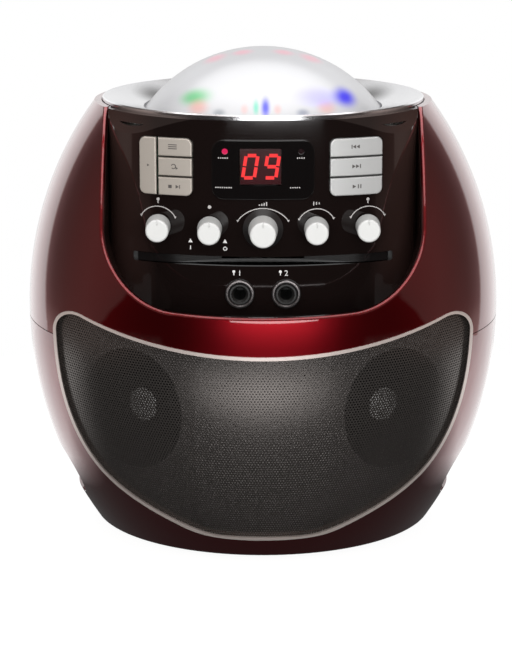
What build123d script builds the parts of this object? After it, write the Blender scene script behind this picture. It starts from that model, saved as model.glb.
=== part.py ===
from build123d import *
import math
import os

# Ball-shaped karaoke player: a two-part ball shell with a black control well at the front, a disc
# tray behind a slot, two speakers under one curved grille and a light dome on top. Millimetres, the
# front faces -Y, up is +Z, and the origin is the middle of the face that the feet rest on.

# --- ball shell ---
BELLY_R = 127.0        # widest radius of the ball
BELLY_Z = 118.0        # height of the widest line
UPPER_ARC = 186.0      # radius of the profile above the belly
LOWER_ARC = 207.0      # radius of the profile below the belly
SHELL_TOP = 229.0      # top edge of the upper shell
SEAM_Z = 114.0         # parting line between the two shells
WALL = 3.0             # wall of both shells
FOOT_H = 2.0           # rubber feet stand this far below the shell
BASE_ROUND = 3.0       # rounding of the lower shell's foot edge
TONGUE_H = 2.6         # tongue that locates the upper shell
TONGUE_W = 1.3
SEAM_GAP = 0.4         # shadow line between the shells
LAP = 0.1              # joined forms run this far into each other
FIT = 0.15             # clearance of parts that locate in each other
RUN = 0.3              # clearance of parts that pass each other

# --- control well and panel ---
WELL_HALF = 80.5       # half width of the opening in the upper shell
WELL_LIP_Z = 136.3     # lowest point of the opening's edge
WELL_LIP_RISE = 2.7    # how far the lip rises towards the corners
WELL_CORNER = 38.0     # corner radius of the opening
WELL_BACK = -30.0      # the opening is cut back to here at the top
PANEL_BACK_LIP = 1.3   # the panel's sides run this far past its corners
LIP_ROUND = 1.6        # rounding of the opening's edge
TROUGH_Z = 127.6       # floor of the well, below the lip
PANEL_T = 2.5          # wall of the panel
PANEL_FRONT = -87.0    # middle of the panel's front face
PANEL_R = 145.0        # plan radius of the panel's front
PANEL_CORNER = 38.0    # plan radius where the panel turns back
PANEL_WALL = 2.0       # wall of the well's sides and floor
PANEL_TRIM = 0.3       # the panel's corners are trimmed this far inside the ball's surface
PANEL_TOP = SHELL_TOP - 0.2
PANEL_HALF = WELL_HALF - 0.2

# --- control layout (x and z on the panel) ---
KNOB_Z = 173.8
KNOB_X = [-53.3, -27.0, 0.0, 27.0, 53.3]
KNOB_LEN = 16.5
KNOB_R = 6.3
KNOB_TAPER = 0.5       # knob face is this much smaller in radius
VOLUME_LEN = 18.0
VOLUME_R = 7.6
VOLUME_TAPER = 1.1
SKIRT_R = 10.2         # the volume knob's flared skirt
SKIRT_T = 2.4
SHAFT_R = 3.0
SHAFT_BITE = 11.0      # how far a shaft reaches into its knob
KEY_ROW_Z = [214.6, 204.6, 194.6]
KEY_H = 9.1
KEY_PROUD = 2.0
KEY_TRAVEL = 0.8
KEY_ROUND = 3.2
KEY_EDGE = 0.7         # rounding of a key's front edges
TALL_KEY_X = (-62.6, -53.9)
LEFT_KEY_X = (-52.9, -35.7)
RIGHT_KEY_X = (33.8, 60.4)
KEY_LUG = 1.4          # retaining lug behind the panel
LUG_T = 1.2
LUG_HALF_H = 2.5
STEM_R = 1.5
KNOB_EDGE = 0.9
KNOB_MARK = 0.8        # width of the index notch in a knob's edge
BEZEL_W = 51.8
BEZEL_H = 30.4
BEZEL_Z = 203.9
BEZEL_ROUND = 6.0
BEZEL_PROUD = 0.8
BEZEL_EDGE = 0.5
DIGITS_X = -1.2
DIGITS_Z = 205.4
DIGITS_W = 21.4
DIGITS_H = 18.7
DIGITS_DEEP = 1.2      # the LED face sits this far behind the panel's front
LAMP_X = 19.2
LAMP_Z = 213.2
LAMP_R = 1.5
JACK_X = 11.8
JACK_Z = 140.2
JACK_BORE = 3.2        # takes a 6.35 mm plug
JACK_MOUTH_R = 4.3     # the bush opens to this at the front
JACK_MOUTH_DEEP = 1.3
JACK_BUSH_R = 5.1
JACK_NUT_R = 7.5
JACK_NUT_T = 2.8
JACK_NUT_EDGE = 0.9
JACK_DISH_R = 6.2      # the nut's face is dished inside this radius
JACK_DISH_DEEP = 1.0
JACK_BODY = 13.6
JACK_LEN = 27.0
JACK_END_T = 1.5       # closed end of the jack's body
JACK_SEAT = 1.4        # spot face below the panel's front
BOARD_GAP = 23.5       # panel's middle to the front face of the control board
BOARD_MARGIN = 1.5     # board below the potentiometers
BOARD_T = 1.6
POT_R = 7.5
POT_T = 6.0
SWITCH_H = 5.0
SWITCH_HALF = 3.0
SWITCH_CASE_H = 3.8
SWITCH_STEM_R = 1.7
PILLAR_BORE = 8.0

# --- top ring and light dome ---
RING_INSET = 4.25      # the ring stands this far inside the ball's top edge
RING_TOP = 231.2
RING_FOOT = 227.0      # the ring stands on a ledge at this height
RING_GAP = 0.2         # ring to dome
RING_IN_TOP = 225.4
RING_T = 2.0
RING_WALL = 2.5
RING_BEVEL = 0.6       # on both edges of the ring's top
LEDGE_W = 3.4          # ledge that the ring stands on
LEDGE_T = 2.4
DOME_R = 78.0
DOME_TOP = 256.4
DOME_T = 2.0
DOME_SEAT_Z = 223.2    # top of the dome's flange
DOME_FLANGE_T = 2.0
DOME_FLANGE_R = 74.0
BASE_PLATE_T = 2.5
BASE_PLATE_GAP = 2.6   # base plate to the ledge's inner edge
BASE_POST_R = 3.0
BASE_POST_BORE = 3.0
POST_UNDER = 1.2       # a boss ends this far inside the ring's wall
BASE_POSTS = 6
SPIN_PIN_R = 2.5
SPIN_PIN_TOP = 241.5
PIN_COLLAR = 2.0
PIN_BOSS = 3.0
ROTOR_R = 70.0         # envelope of the lens rotor, centred as the dome
ROTOR_T = 2.2
ROTOR_SIDES = 16
ROTOR_LIFT = 0.5
ROTOR_RINGS = [36.0, 24.0, 12.0, 0.0]
ROTOR_WEB_R = 50.0
ROTOR_BORE = 24.0
HUB_H = 6.0
GEAR_MODULE = 1.25
ROTOR_TEETH = 48
PINION_TEETH = 16
GEAR_FACE = 2.6
RUN_FIT = 0.06         # radial clearance of a shaft in its bearing
LED_AT = 16.0
LED_R = 2.5
LED_H = 8.0
LED_COLLAR = 0.5
LED_COLLAR_T = 1.0
DISCO_MOTOR_R = 10.0
DISCO_MOTOR_H = 17.0
DISCO_SHAFT = 7.0      # how far the pinion's shaft reaches into the motor
AXLE_HOLE_R = 2.0

# --- grille and speakers ---
GRILLE_TOP_Z = 116.8
GRILLE_CORNER = (109.3, 134.5)
GRILLE_ROUND = 13.0
GRILLE_FLANK = (104.5, 82.0)
GRILLE_HAUNCH = (84.0, 43.5)
GRILLE_HIP = (46.0, 20.5)
GRILLE_LOW_Z = 12.9
TRIM_W = 1.8
TRIM_PROUD = 0.7
MESH_INSET = 1.2
MESH_T = 1.0
SPEAKER_AZ = 33.0      # each driver faces this far from the front
SPEAKER_INSET = 26.0   # the baffle's face lies this far inside the belly's radius
SPEAKER_SLIDE = 16.1   # driver centre along the baffle
SPEAKER_Z = 77.0
BAFFLE_T = 3.0
NOSE_STEP = 3.0        # the baffle's flat middle is this far behind its wings
WING_END = 20.0
WING_CUT = 40.0
BAFFLE_LOW = 6.0
CONE_R = 32.0
DRIVER_R = 38.5
DRIVER_FLANGE = 2.0
BASKET_DEPTH = 22.0
BASKET_BACK_R = 21.0
BASKET_WALL = 1.5
BASKET_WINDOWS = 4
SURROUND_W = 5.0
PAPER_T = 0.8
CAP_RISE = 3.5
MAGNET_R = 22.0
MAGNET_T = 10.0
CAP_R = 9.4
CAP_DEEP = 11.0

# --- sides and back ---
SCOOP_Z = 32.0
SCOOP_H = 26.0
SCOOP_W = 88.0
SCOOP_DEEP = 35.0      # depth of the scoop's floor below the belly's radius
SCOOP_WALL = 2.5
BACK_W = 76.0
BACK_H = 42.0
BACK_Z = 71.0
BACK_ROUND = 4.0
BACK_DEEP = 22.0       # depth of the connector plate below the belly's radius
BACK_T = 2.5
BACK_FRAME = 2.5
INLET_X = -22.0
INLET_W = 20.0
INLET_H = 13.0
INLET_D = 18.0
INLET_ROUND = 3.0
INLET_RIM = 2.0
INLET_RIM_T = 1.5
INLET_WALL = 2.0
INLET_SOCKET_ROUND = 4.2
INLET_END_T = 3.0
INLET_PIN_R = 1.2
INLET_PIN_GAP = 8.6
AV_X = [4.0, 17.0, 30.0]
AV_R = 4.3
AV_PROUD = 7.0
AV_BODY = 11.0
AV_BORE = 1.7
TOWER_INSET = 15.0     # screw towers, inside the belly's radius
TOWER_AZ = [61.0, 41.0, -41.0, -61.0]
TOWER_R = 6.4
TOWER_WELL_R = 4.2
TOWER_TOP = 55.0       # the upper towers run this far up to the skin
TOWER_WEB_DROP = 19.0  # the web that the screws pass lies this far below the seam
SCREW_R = 1.5
SCREW_HEAD_R = 3.2
SCREW_HEAD_T = 2.4
SCREW_REACH = 16.0     # depth of a screw's hole above the seam
FOOT_R = 9.0
FOOT_EDGE = 0.6
FOOT_AT = 72.0
FLOOR_PAD = 2.0        # seats for the loader's stand
FLOOR_Z = FOOT_H + WALL

# --- disc loader ---
TRAY_Z = 154.9         # underside of the tray
TRAY_T = 4.1
TRAY_HALF = 64.0
TRAY_BACK = 62.0
TRAY_INSET = 1.2       # tray front sits this far behind the panel's face
TRAY_TRAVEL = 112.0
DISC_Y = -21.0         # centre of the disc when loaded
DISC_POCKET_R = 60.5
DISC_POCKET_DEEP = 2.2
TRAY_SLOT_HALF = 19.0
SLOT_GAP = 0.4
TRAY_SIDE_GAP = 2.5
ARM_IN = 53.0
TRAY_GEAR_Y = -24.0
TRAY_GEAR_TEETH = 16
CHASSIS_T = 2.0
CHASSIS_GAP = 22.0     # panel's middle to the chassis
CHASSIS_BACK = 70.0
RAIL_W = 2.5
RAIL_GAP = 0.5
RAIL_LEDGE = 4.0
RAIL_LIP_T = 1.8
RAIL_LEDGE_W = 4.0     # the tray rests on this much of the ledge
RAIL_LIP_W = 3.0
EAR_GAP = 3.0
EAR_T = 3.0
EAR_R = 4.5
WINDOW_HALF = 43.0
WINDOW_FRONT = -44.0
WINDOW_BACK = 52.0
PULLEY_R = 14.0
PULLEY_T = 4.0
MOTOR_PULLEY_R = 4.0
MOTOR_AT = (78.0, 16.0)
MOTOR_R = 9.0
MOTOR_H = 18.0
MOTOR_SHAFT = 8.0
MOTOR_LUG = 1.0        # chassis left round the motor's seat
BELT_SLACK = 0.1
BELT_W = 1.6
BRIDGE_HALF_Y = 9.0
BRIDGE_T = 2.5
CLAMP_R = 15.0
CLAMP_STEM_R = 5.6
CLAMP_HEAD = 2.4       # the stem's head overhangs the bridge by this
CLAMP_HEAD_T = 1.5
BRIDGE_LIFT = 3.6
DISC_T = 1.2
DISC_CLEAR = 1.0
CONE_RISE = 1.9
BAR_T = 6.0
HUB_R = 4.0
PICKUP_OPEN = -8.0
STAND_BAR = 8.0
STAND_FRONT_Y = -56.0
STAND_BACK_Y = 58.0
STAND_FRONT_X = 25.0
STAND_BACK_X = 57.0
STAND_RAIL_X = 51.0
STAND_FOOT_R = 7.0
STAND_FOOT_T = 2.0
STAND_BORE = 12.0
STAND_STEP = 0.8       # the side rails lie this far below the cross bars
HINGE_Y = 49.0
HINGE_PIN_R = 2.0
PICKUP_HALF = 40.0
PICKUP_T = 2.0
PICKUP_FRONT = -41.0
PICKUP_STEP = 4.0      # strip along the hinge
PICKUP_PIN_OUT = 6.0
ROD_STRIP = 4.0        # frame left beside each rod
ROD_BLOCK = (6.0, 3.0) # blocks that hold the rods: width, length
ROD_RISE = 3.2
ROD_OUT = 2.0
ROD_X = 22.0
ROD_R = 1.5
ROD_FRONT = -6.5
ROD_BACK = 44.0
CARRIAGE_HALF_X = 27.0
CARRIAGE_HALF_Y = 7.0
CARRIAGE_T = 5.2
CARRIAGE_Y = 3.0       # pickup lens at the disc's inner track
OPTIC_HALF = (9.0, 6.0)
OPTIC_RISE = 0.6       # the optic block stands this far into the tray's opening
LENS_R = 3.2
LENS_RISE = 1.4
SPINDLE_MOTOR_R = 12.0
SPINDLE_MOTOR_H = 13.0
MOTOR_END_T = 1.0
TABLE_R = 14.0
TABLE_T = 2.0
CONE_TOP_R = 4.5
CONE_BASE_R = 7.3
SPINDLE_R = 1.0

# --- gears ---
PRESSURE = math.radians(20)
GEAR_ADDENDUM = 0.9
GEAR_DEDENDUM = 1.2
BACKLASH = 0.24

# --- electronics ---
BOARD_HALF = 59.5
BOARD_TOP = 218.3
BOARD_SCREW_X = 29.3
BOARD_SCREW_Z = [186.0, 213.5]
PILLAR_R = 2.6
MODE_KNOB_X = KNOB_X[1]
TRANSFORMER = (52.0, 40.0, 42.0)
TRANSFORMER_Y = 22.0
CORE_LIMB = 10.0
CORE_YOKE = 9.0
MAIN_BOARD_Z = (48.0, 132.0)
MAIN_BOARD_HALF = 66.0
SINK_HALF = 20.0       # heat sink: base plate and fins
SINK_H = 30.0
SINK_DROP = 4.0
SINK_T = 3.0
FINS = 6
FIN_T = 2.0
FIN_REACH = 12.0
CAN_X = [-48.0, -34.0, 34.0, 50.0]
CAN_R = 5.5
CAN_LEN = 16.0
CAN_RISE = 16.0

# --- values worked out from the above ---
OUT = 1.1 * BELLY_R    # safely outside the ball
TOP_R = BELLY_R - UPPER_ARC + math.sqrt(UPPER_ARC ** 2 - (SHELL_TOP - BELLY_Z) ** 2)
RING_R = TOP_R - RING_INSET
LEDGE_IN = RING_R - LEDGE_W
BASE_PLATE_R = LEDGE_IN - BASE_PLATE_GAP
BASE_POST_AT = BASE_PLATE_R - BASE_POST_R
PANEL_MID = PANEL_FRONT + PANEL_R
PANEL_CORNER_X = PANEL_HALF - PANEL_CORNER
PANEL_CORNER_Y = PANEL_MID - math.sqrt((PANEL_R - PANEL_CORNER) ** 2 - PANEL_CORNER_X ** 2)
PANEL_BACK = PANEL_CORNER_Y + PANEL_BACK_LIP
BOARD_Y = PANEL_FRONT + BOARD_GAP
CHASSIS_FRONT = PANEL_FRONT + CHASSIS_GAP
SPEAKER_OFF = BELLY_R - SPEAKER_INSET
BAFFLE_NOSE = SPEAKER_OFF - NOSE_STEP
SCOOP_FLOOR = BELLY_R - SCOOP_DEEP
BACK_SEAT = BELLY_R - BACK_DEEP
TOWER_AT = BELLY_R - TOWER_INSET
TOWER_WEB_Z = SEAM_Z - TOWER_WEB_DROP
SCREW_TOP = SEAM_Z + SCREW_REACH
PICKUP_TRAVEL = ROD_BACK - ROD_BLOCK[1] / 2 - RUN - CARRIAGE_Y - CARRIAGE_HALF_Y
TRAY_TOP = TRAY_Z + TRAY_T
CHASSIS_TOP = TRAY_Z - RUN - RAIL_LEDGE
CHASSIS_LOW = CHASSIS_TOP - CHASSIS_T
RAIL_TOP = TRAY_TOP + SLOT_GAP + RAIL_LIP_T
RAIL_IN = TRAY_HALF + RAIL_GAP
DOME_CZ = DOME_TOP - DOME_R
RING_IN = math.sqrt(DOME_R ** 2 - (RING_IN_TOP - RING_T - DOME_CZ) ** 2) + RING_GAP
PLATE_TOP = DOME_SEAT_Z - DOME_FLANGE_T
TRAY_GEAR_R = GEAR_MODULE * TRAY_GEAR_TEETH / 2
TRAY_GEAR_X = TRAY_HALF - GEAR_MODULE + TRAY_GEAR_R
ROTOR_GEAR_R = GEAR_MODULE * ROTOR_TEETH / 2
PINION_R = GEAR_MODULE * PINION_TEETH / 2
PINION_X = ROTOR_GEAR_R + PINION_R


# --- helpers ---
def block(x0, x1, y0, y1, z0, z1):
    return Pos((x0 + x1) / 2, (y0 + y1) / 2, (z0 + z1) / 2) * Box(x1 - x0, y1 - y0, z1 - z0)


def post(x, y, z0, z1, r):
    return Pos(x, y, (z0 + z1) / 2) * Cylinder(r, z1 - z0)


def peg(x, z, y0, y1, r):
    """A cylinder along Y, from y0 at the front to y1 at the back."""
    return Pos(x, (y0 + y1) / 2, z) * Rot(90, 0, 0) * Cylinder(r, y1 - y0)


def pin(y, z, x0, x1, r):
    """A cylinder along X."""
    return Pos((x0 + x1) / 2, y, z) * Rot(0, 90, 0) * Cylinder(r, x1 - x0)


def forward(face, back, front):
    """Extrude a face drawn in x and z from y = back to y = front."""
    return extrude(Plane.XZ.offset(-back) * face, back - front)


def upward(face, z0, z1):
    return extrude(Plane.XY.offset(z0) * face, z1 - z0)


def spun(points):
    """Revolve a closed outline of (radius, z) points about the ball's axis."""
    outline = make_face(Plane.XZ * Polyline(*points, close=True))
    return revolve(outline, Axis.Z)


def ball_r(z, inset=0.0):
    """Radius of the ball at a height, for the form shrunk by inset."""
    arc = UPPER_ARC if z > BELLY_Z else LOWER_ARC
    return BELLY_R - arc + math.sqrt((arc - inset) ** 2 - (z - BELLY_Z) ** 2)


def ball(inset, z0, z1):
    """The ball's solid form, shrunk by inset, between two heights."""
    cuts = [z0] + ([BELLY_Z] if z0 < BELLY_Z < z1 else []) + [z1]
    edges = [Line((0, z0), (ball_r(z0, inset), z0))]
    for low, high in zip(cuts, cuts[1:]):
        mid = (low + high) / 2
        edges.append(ThreePointArc((ball_r(low, inset), low), (ball_r(mid, inset), mid),
                                   (ball_r(high, inset), high)))
    edges.append(Line((ball_r(z1, inset), z1), (0, z1)))
    edges.append(Line((0, z1), (0, z0)))
    return revolve(make_face(Plane.XZ * Curve(children=edges)), Axis.Z)


def disc_cut(r, z0, z1):
    return post(0, 0, z0, z1, r)


def well_face(grow, low_z, high_z=OUT * 2):
    """Front outline of the control well: straight sides and a low bottom with round corners."""
    half = WELL_HALF + grow
    rise = low_z - grow + WELL_LIP_RISE
    edges = Curve(children=[
        Line((-half, rise), (-half, high_z)),
        Line((-half, high_z), (half, high_z)),
        Line((half, high_z), (half, rise)),
        ThreePointArc((half, rise), (0, low_z - grow), (-half, rise)),
    ])
    face = make_face(edges)
    return fillet(face.vertices().sort_by(Axis.Y)[:2], WELL_CORNER + grow)


def panel_plan(grow, back=PANEL_BACK):
    """Plan of the panel: a shallow front curve that turns back at both sides."""
    half = PANEL_HALF + grow
    face = Pos(0, PANEL_MID) * Circle(PANEL_R + grow) & Pos(0, back - OUT / 2) * Rectangle(2 * half, OUT)
    corners = face.vertices().sort_by(Axis.Y)[:2]
    return fillet(corners, PANEL_CORNER + grow)


def panel_y(x, grow=0.0):
    """The y of the panel's face, or of a face parallel to it, at one x."""
    if abs(x) * (PANEL_R - PANEL_CORNER) <= PANEL_CORNER_X * (PANEL_R + grow):
        return PANEL_MID - math.sqrt((PANEL_R + grow) ** 2 - x ** 2)
    return PANEL_CORNER_Y - math.sqrt((PANEL_CORNER + grow) ** 2 - (abs(x) - PANEL_CORNER_X) ** 2)


def panel_layer(outer, inner, z0, z1):
    """A sheet parallel to the panel's face, between two offsets from it."""
    return upward(panel_plan(outer), z0, z1) - upward(panel_plan(inner, PANEL_BACK + OUT / 4), z0, z1)


def grille_face(inset=0.0):
    """Front outline of the speaker grille, moved inwards by inset."""
    corner_x, corner_z = GRILLE_CORNER
    top = ThreePointArc((-corner_x, corner_z), (0, GRILLE_TOP_Z), (corner_x, corner_z))
    side = Spline((corner_x, corner_z), GRILLE_FLANK, GRILLE_HAUNCH, GRILLE_HIP, (0, GRILLE_LOW_Z),
                  tangents=[(0, -1), (-1, 0)])
    if inset:
        top = ThreePointArc((inset - corner_x, corner_z - inset), (0, GRILLE_TOP_Z - inset),
                            (corner_x - inset, corner_z - inset))
        moved = [side @ (k / 6) + (side % (k / 6)).rotate(Axis.Z, -90) * inset for k in range(7)]
        moved[0] = top @ 1
        side = Spline(*moved, tangents=[(0, -1), (-1, 0)])
    face = make_face(Curve(children=[top, side, mirror(side, Plane.YZ)]))
    return fillet(face.vertices().sort_by(Axis.Y)[-2:], GRILLE_ROUND - inset)


def tower_points():
    """Screw towers, by their angle from straight back."""
    return [(TOWER_AT * math.sin(math.radians(az)), TOWER_AT * math.cos(math.radians(az)))
            for az in TOWER_AZ]


# --- shells ---
def upper_shell():
    body = ball(0, SEAM_Z, SHELL_TOP) - ball(WALL, SEAM_Z, SHELL_TOP)
    low = RING_FOOT - LEDGE_T
    ledge = (ball(WALL / 2, low, RING_FOOT) - disc_cut(LEDGE_IN, low, RING_FOOT))
    body += ledge
    for x, y in tower_points():
        stem = post(x, y, SEAM_Z, SEAM_Z + TOWER_TOP, TOWER_R - 1) & ball(WALL / 2, SEAM_Z, SHELL_TOP)
        body += stem
        body -= post(x, y, SEAM_Z, SCREW_TOP, SCREW_R)
    body -= forward(well_face(0, WELL_LIP_Z), WELL_BACK, -OUT)
    lip = [e for e in body.edges() if is_lip(e)]
    body = fillet(lip, LIP_ROUND)
    body -= forward(grille_face(), -20, -OUT)
    body -= spun(tongue_outline(FIT))
    shadow_r = ball_r(SEAM_Z, WALL) + TONGUE_W
    return body - spun([(shadow_r, SEAM_Z - 1), (OUT, SEAM_Z - 1), (OUT, SEAM_Z + SEAM_GAP),
                        (shadow_r, SEAM_Z + SEAM_GAP)])


def is_lip(edge):
    """True for the outer edges of the well's opening."""
    mid = edge @ 0.5
    on_skin = abs(math.hypot(mid.X, mid.Y) - ball_r(mid.Z)) < 0.05
    return on_skin and mid.Y < WELL_BACK - 2 and SEAM_Z + 5 < mid.Z < SHELL_TOP - 0.5


def tongue_outline(slack):
    """Half section of the tongue round the seam, with slack for its groove."""
    inner = ball_r(SEAM_Z, WALL)
    r0, r1 = inner - (2 if slack else 0), inner + TONGUE_W + slack
    high = SEAM_Z + TONGUE_H + slack
    return [(r0, SEAM_Z - 0.5), (r1, SEAM_Z - 0.5), (r1, high), (r0, high)]


def lower_shell():
    body = ball(0, FOOT_H, SEAM_Z)
    foot_edge = body.edges().filter_by(GeomType.CIRCLE).sort_by(Axis.Z)[0]
    body = fillet(foot_edge, BASE_ROUND)
    body -= ball(WALL, FLOOR_Z, SEAM_Z)
    body += spun(tongue_outline(0)) - disc_cut(ball_r(SEAM_Z, WALL), 0, OUT)
    skin = ball(0, FOOT_H, SEAM_Z)
    for side in (-1, 1):
        body += scoop_form(side, SCOOP_WALL) & skin
    frame = back_form(BACK_FRAME, BACK_SEAT, OUT) & skin
    body += frame
    for x, y in tower_points():
        body += post(x, y, FOOT_H, SEAM_Z, TOWER_R) & ball(WALL / 2, FOOT_H, SEAM_Z)
    for x, y in floor_seats():
        body += post(x, y, FLOOR_Z - 0.5, FLOOR_Z + FLOOR_PAD, STAND_FOOT_R)
    for side in (-1, 1):
        body -= scoop_form(side, 0)
    body -= back_form(0, BACK_SEAT - 2 * WALL, OUT)
    for x, y in tower_points():
        body -= post(x, y, -1, TOWER_WEB_Z, TOWER_WELL_R)
        body -= post(x, y, TOWER_WEB_Z - 1, SEAM_Z + 1, SCREW_R + FIT)
    for x, y in floor_seats():
        body -= post(x, y, -1, FLOOR_Z + FLOOR_PAD + 1, SCREW_R)
        body -= post(x, y, -1, FLOOR_Z - 1, SCREW_HEAD_R + FIT)
    body -= forward(grille_face(), -20, -OUT)
    return body


def scoop_form(side, grow):
    """A finger scoop: a stadium let into the flank, or its pocket wall."""
    half_h = SCOOP_H / 2 + grow
    face = Pos(0, SCOOP_Z) * RectangleRounded(SCOOP_W + 2 * grow, 2 * half_h, half_h - 0.1)
    form = extrude(Plane.YZ.offset(SCOOP_FLOOR - grow) * face, OUT - SCOOP_FLOOR + grow)
    return form if side > 0 else mirror(form, Plane.YZ)


def back_form(grow, y0, y1):
    """The connector recess at the back, or its frame."""
    face = Pos(0, BACK_Z) * RectangleRounded(BACK_W + 2 * grow, BACK_H + 2 * grow, BACK_ROUND + grow)
    return forward(face, y1, y0)


def floor_seats():
    """Where the loader's stand is screwed to the floor."""
    return [(x * side, y) for side in (-1, 1)
            for x, y in ((STAND_FRONT_X, STAND_FRONT_Y), (STAND_BACK_X, STAND_BACK_Y))]


# --- grille and speakers ---
def grille_trim():
    ring = grille_face() - grille_face(TRIM_W)
    skin = ball(-TRIM_PROUD, FOOT_H, SHELL_TOP) - ball(WALL, FOOT_H - 1, SHELL_TOP + 1)
    return forward(ring, -20, -OUT) & skin


def speaker_grille():
    skin = ball(MESH_INSET, FOOT_H, SHELL_TOP) - ball(MESH_INSET + MESH_T, FOOT_H - 1, SHELL_TOP + 1)
    return forward(grille_face(TRIM_W), -20, -OUT) & skin


def speaker_frame(side):
    """Plane of one driver: its origin is the middle of the opening, z points out to the front."""
    az = math.radians(SPEAKER_AZ)
    out = Vector(side * math.sin(az), -math.cos(az), 0)
    along = Vector(side * math.cos(az), math.sin(az), 0)
    centre = out * SPEAKER_OFF + along * SPEAKER_SLIDE + Vector(0, 0, SPEAKER_Z)
    return Plane(origin=centre, x_dir=along, z_dir=out)


def baffle_plan(inset):
    """Plan of the baffle's front, moved back by inset: a flat nose between two slanted wings."""
    az = math.radians(SPEAKER_AZ)
    nose = BAFFLE_NOSE - inset
    wing = SPEAKER_OFF - inset
    nose_x = (wing - nose * math.cos(az)) / math.sin(az)
    end_x = (wing - WING_END * math.cos(az)) / math.sin(az)
    right = [(end_x, -WING_END), (nose_x, -nose)]
    left = [(-x, y) for x, y in reversed(right)]
    return make_face(Polyline(*right, *left, close=True))


def speaker_baffle():
    high = TROUGH_Z - 2 * RUN - BAFFLE_T
    wings = (upward(baffle_plan(0), BAFFLE_LOW, high)
             - upward(baffle_plan(BAFFLE_T), BAFFLE_LOW, high)
             - block(-OUT * 2, OUT * 2, -WING_CUT, OUT, 0, OUT))
    body = wings & ball(WALL + RUN_FIT, FLOOR_Z, SHELL_TOP)
    for side in (-1, 1):
        body -= speaker_frame(side) * Cylinder(CONE_R, 4 * BAFFLE_T)
    return body


def cup(r0, r1, depth, top):
    """A cone frustum that opens forward: radius r0 at z = top, r1 at depth behind it."""
    return Pos(0, 0, top - depth / 2) * Cone(r1, r0, depth)


def on_both(build):
    """One piece for each speaker, in a single node."""
    return Compound(children=[speaker_frame(side) * build() for side in (-1, 1)])


def one_frame():
    back = -BAFFLE_T - DRIVER_FLANGE
    body = Pos(0, 0, back + DRIVER_FLANGE / 2) * Cylinder(DRIVER_R, DRIVER_FLANGE)
    body += cup(CONE_R + BASKET_WALL, BASKET_BACK_R, BASKET_DEPTH, back)
    body -= cup(CONE_R, BASKET_BACK_R - BASKET_WALL, BASKET_DEPTH - BASKET_WALL, back + 0.01)
    body -= Pos(0, 0, back + DRIVER_FLANGE / 2) * Cylinder(CONE_R, DRIVER_FLANGE)
    for k in range(BASKET_WINDOWS):
        turn = Rot(0, 0, 360 / BASKET_WINDOWS * (k + 0.5))
        body -= turn * Pos(BASKET_BACK_R + BASKET_DEPTH / 2, 0, back - BASKET_DEPTH / 2) * Box(
            BASKET_DEPTH, BASKET_DEPTH, BASKET_DEPTH / 2)
    return body


def one_cone():
    """Surround roll and paper cone."""
    back = -BAFFLE_T - DRIVER_FLANGE / 2
    depth = CAP_DEEP - BAFFLE_T - DRIVER_FLANGE / 2 + 1
    shape = cup(CONE_R - SURROUND_W, CAP_R - 1, depth, back) - cup(
        CONE_R - SURROUND_W - 1, CAP_R - 2, depth, back + PAPER_T)
    roll = Pos(0, 0, back) * Torus(CONE_R - SURROUND_W / 2 - 0.2, SURROUND_W / 2)
    roll &= Pos(0, 0, back + SURROUND_W) * Cylinder(DRIVER_R, 2 * SURROUND_W)
    rim = Pos(0, 0, back) * (Cylinder(CONE_R, PAPER_T) - Cylinder(CONE_R - SURROUND_W - 1, PAPER_T))
    return shape + rim + roll - one_cap()


def one_cap():
    """Dust cap on the middle of the cone."""
    base = -BAFFLE_T - DRIVER_FLANGE / 2 - (CAP_DEEP - BAFFLE_T - DRIVER_FLANGE / 2 + 1) + PAPER_T
    ball_radius = (CAP_R ** 2 + CAP_RISE ** 2) / (2 * CAP_RISE)
    dome = Pos(0, 0, base + CAP_RISE - ball_radius) * Sphere(ball_radius)
    return dome & Pos(0, 0, base + CAP_RISE) * Cylinder(CAP_R, 2 * CAP_RISE)


def one_magnet():
    back = -BAFFLE_T - DRIVER_FLANGE - BASKET_DEPTH
    return Pos(0, 0, back - MAGNET_T / 2) * Cylinder(MAGNET_R, MAGNET_T)


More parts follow.
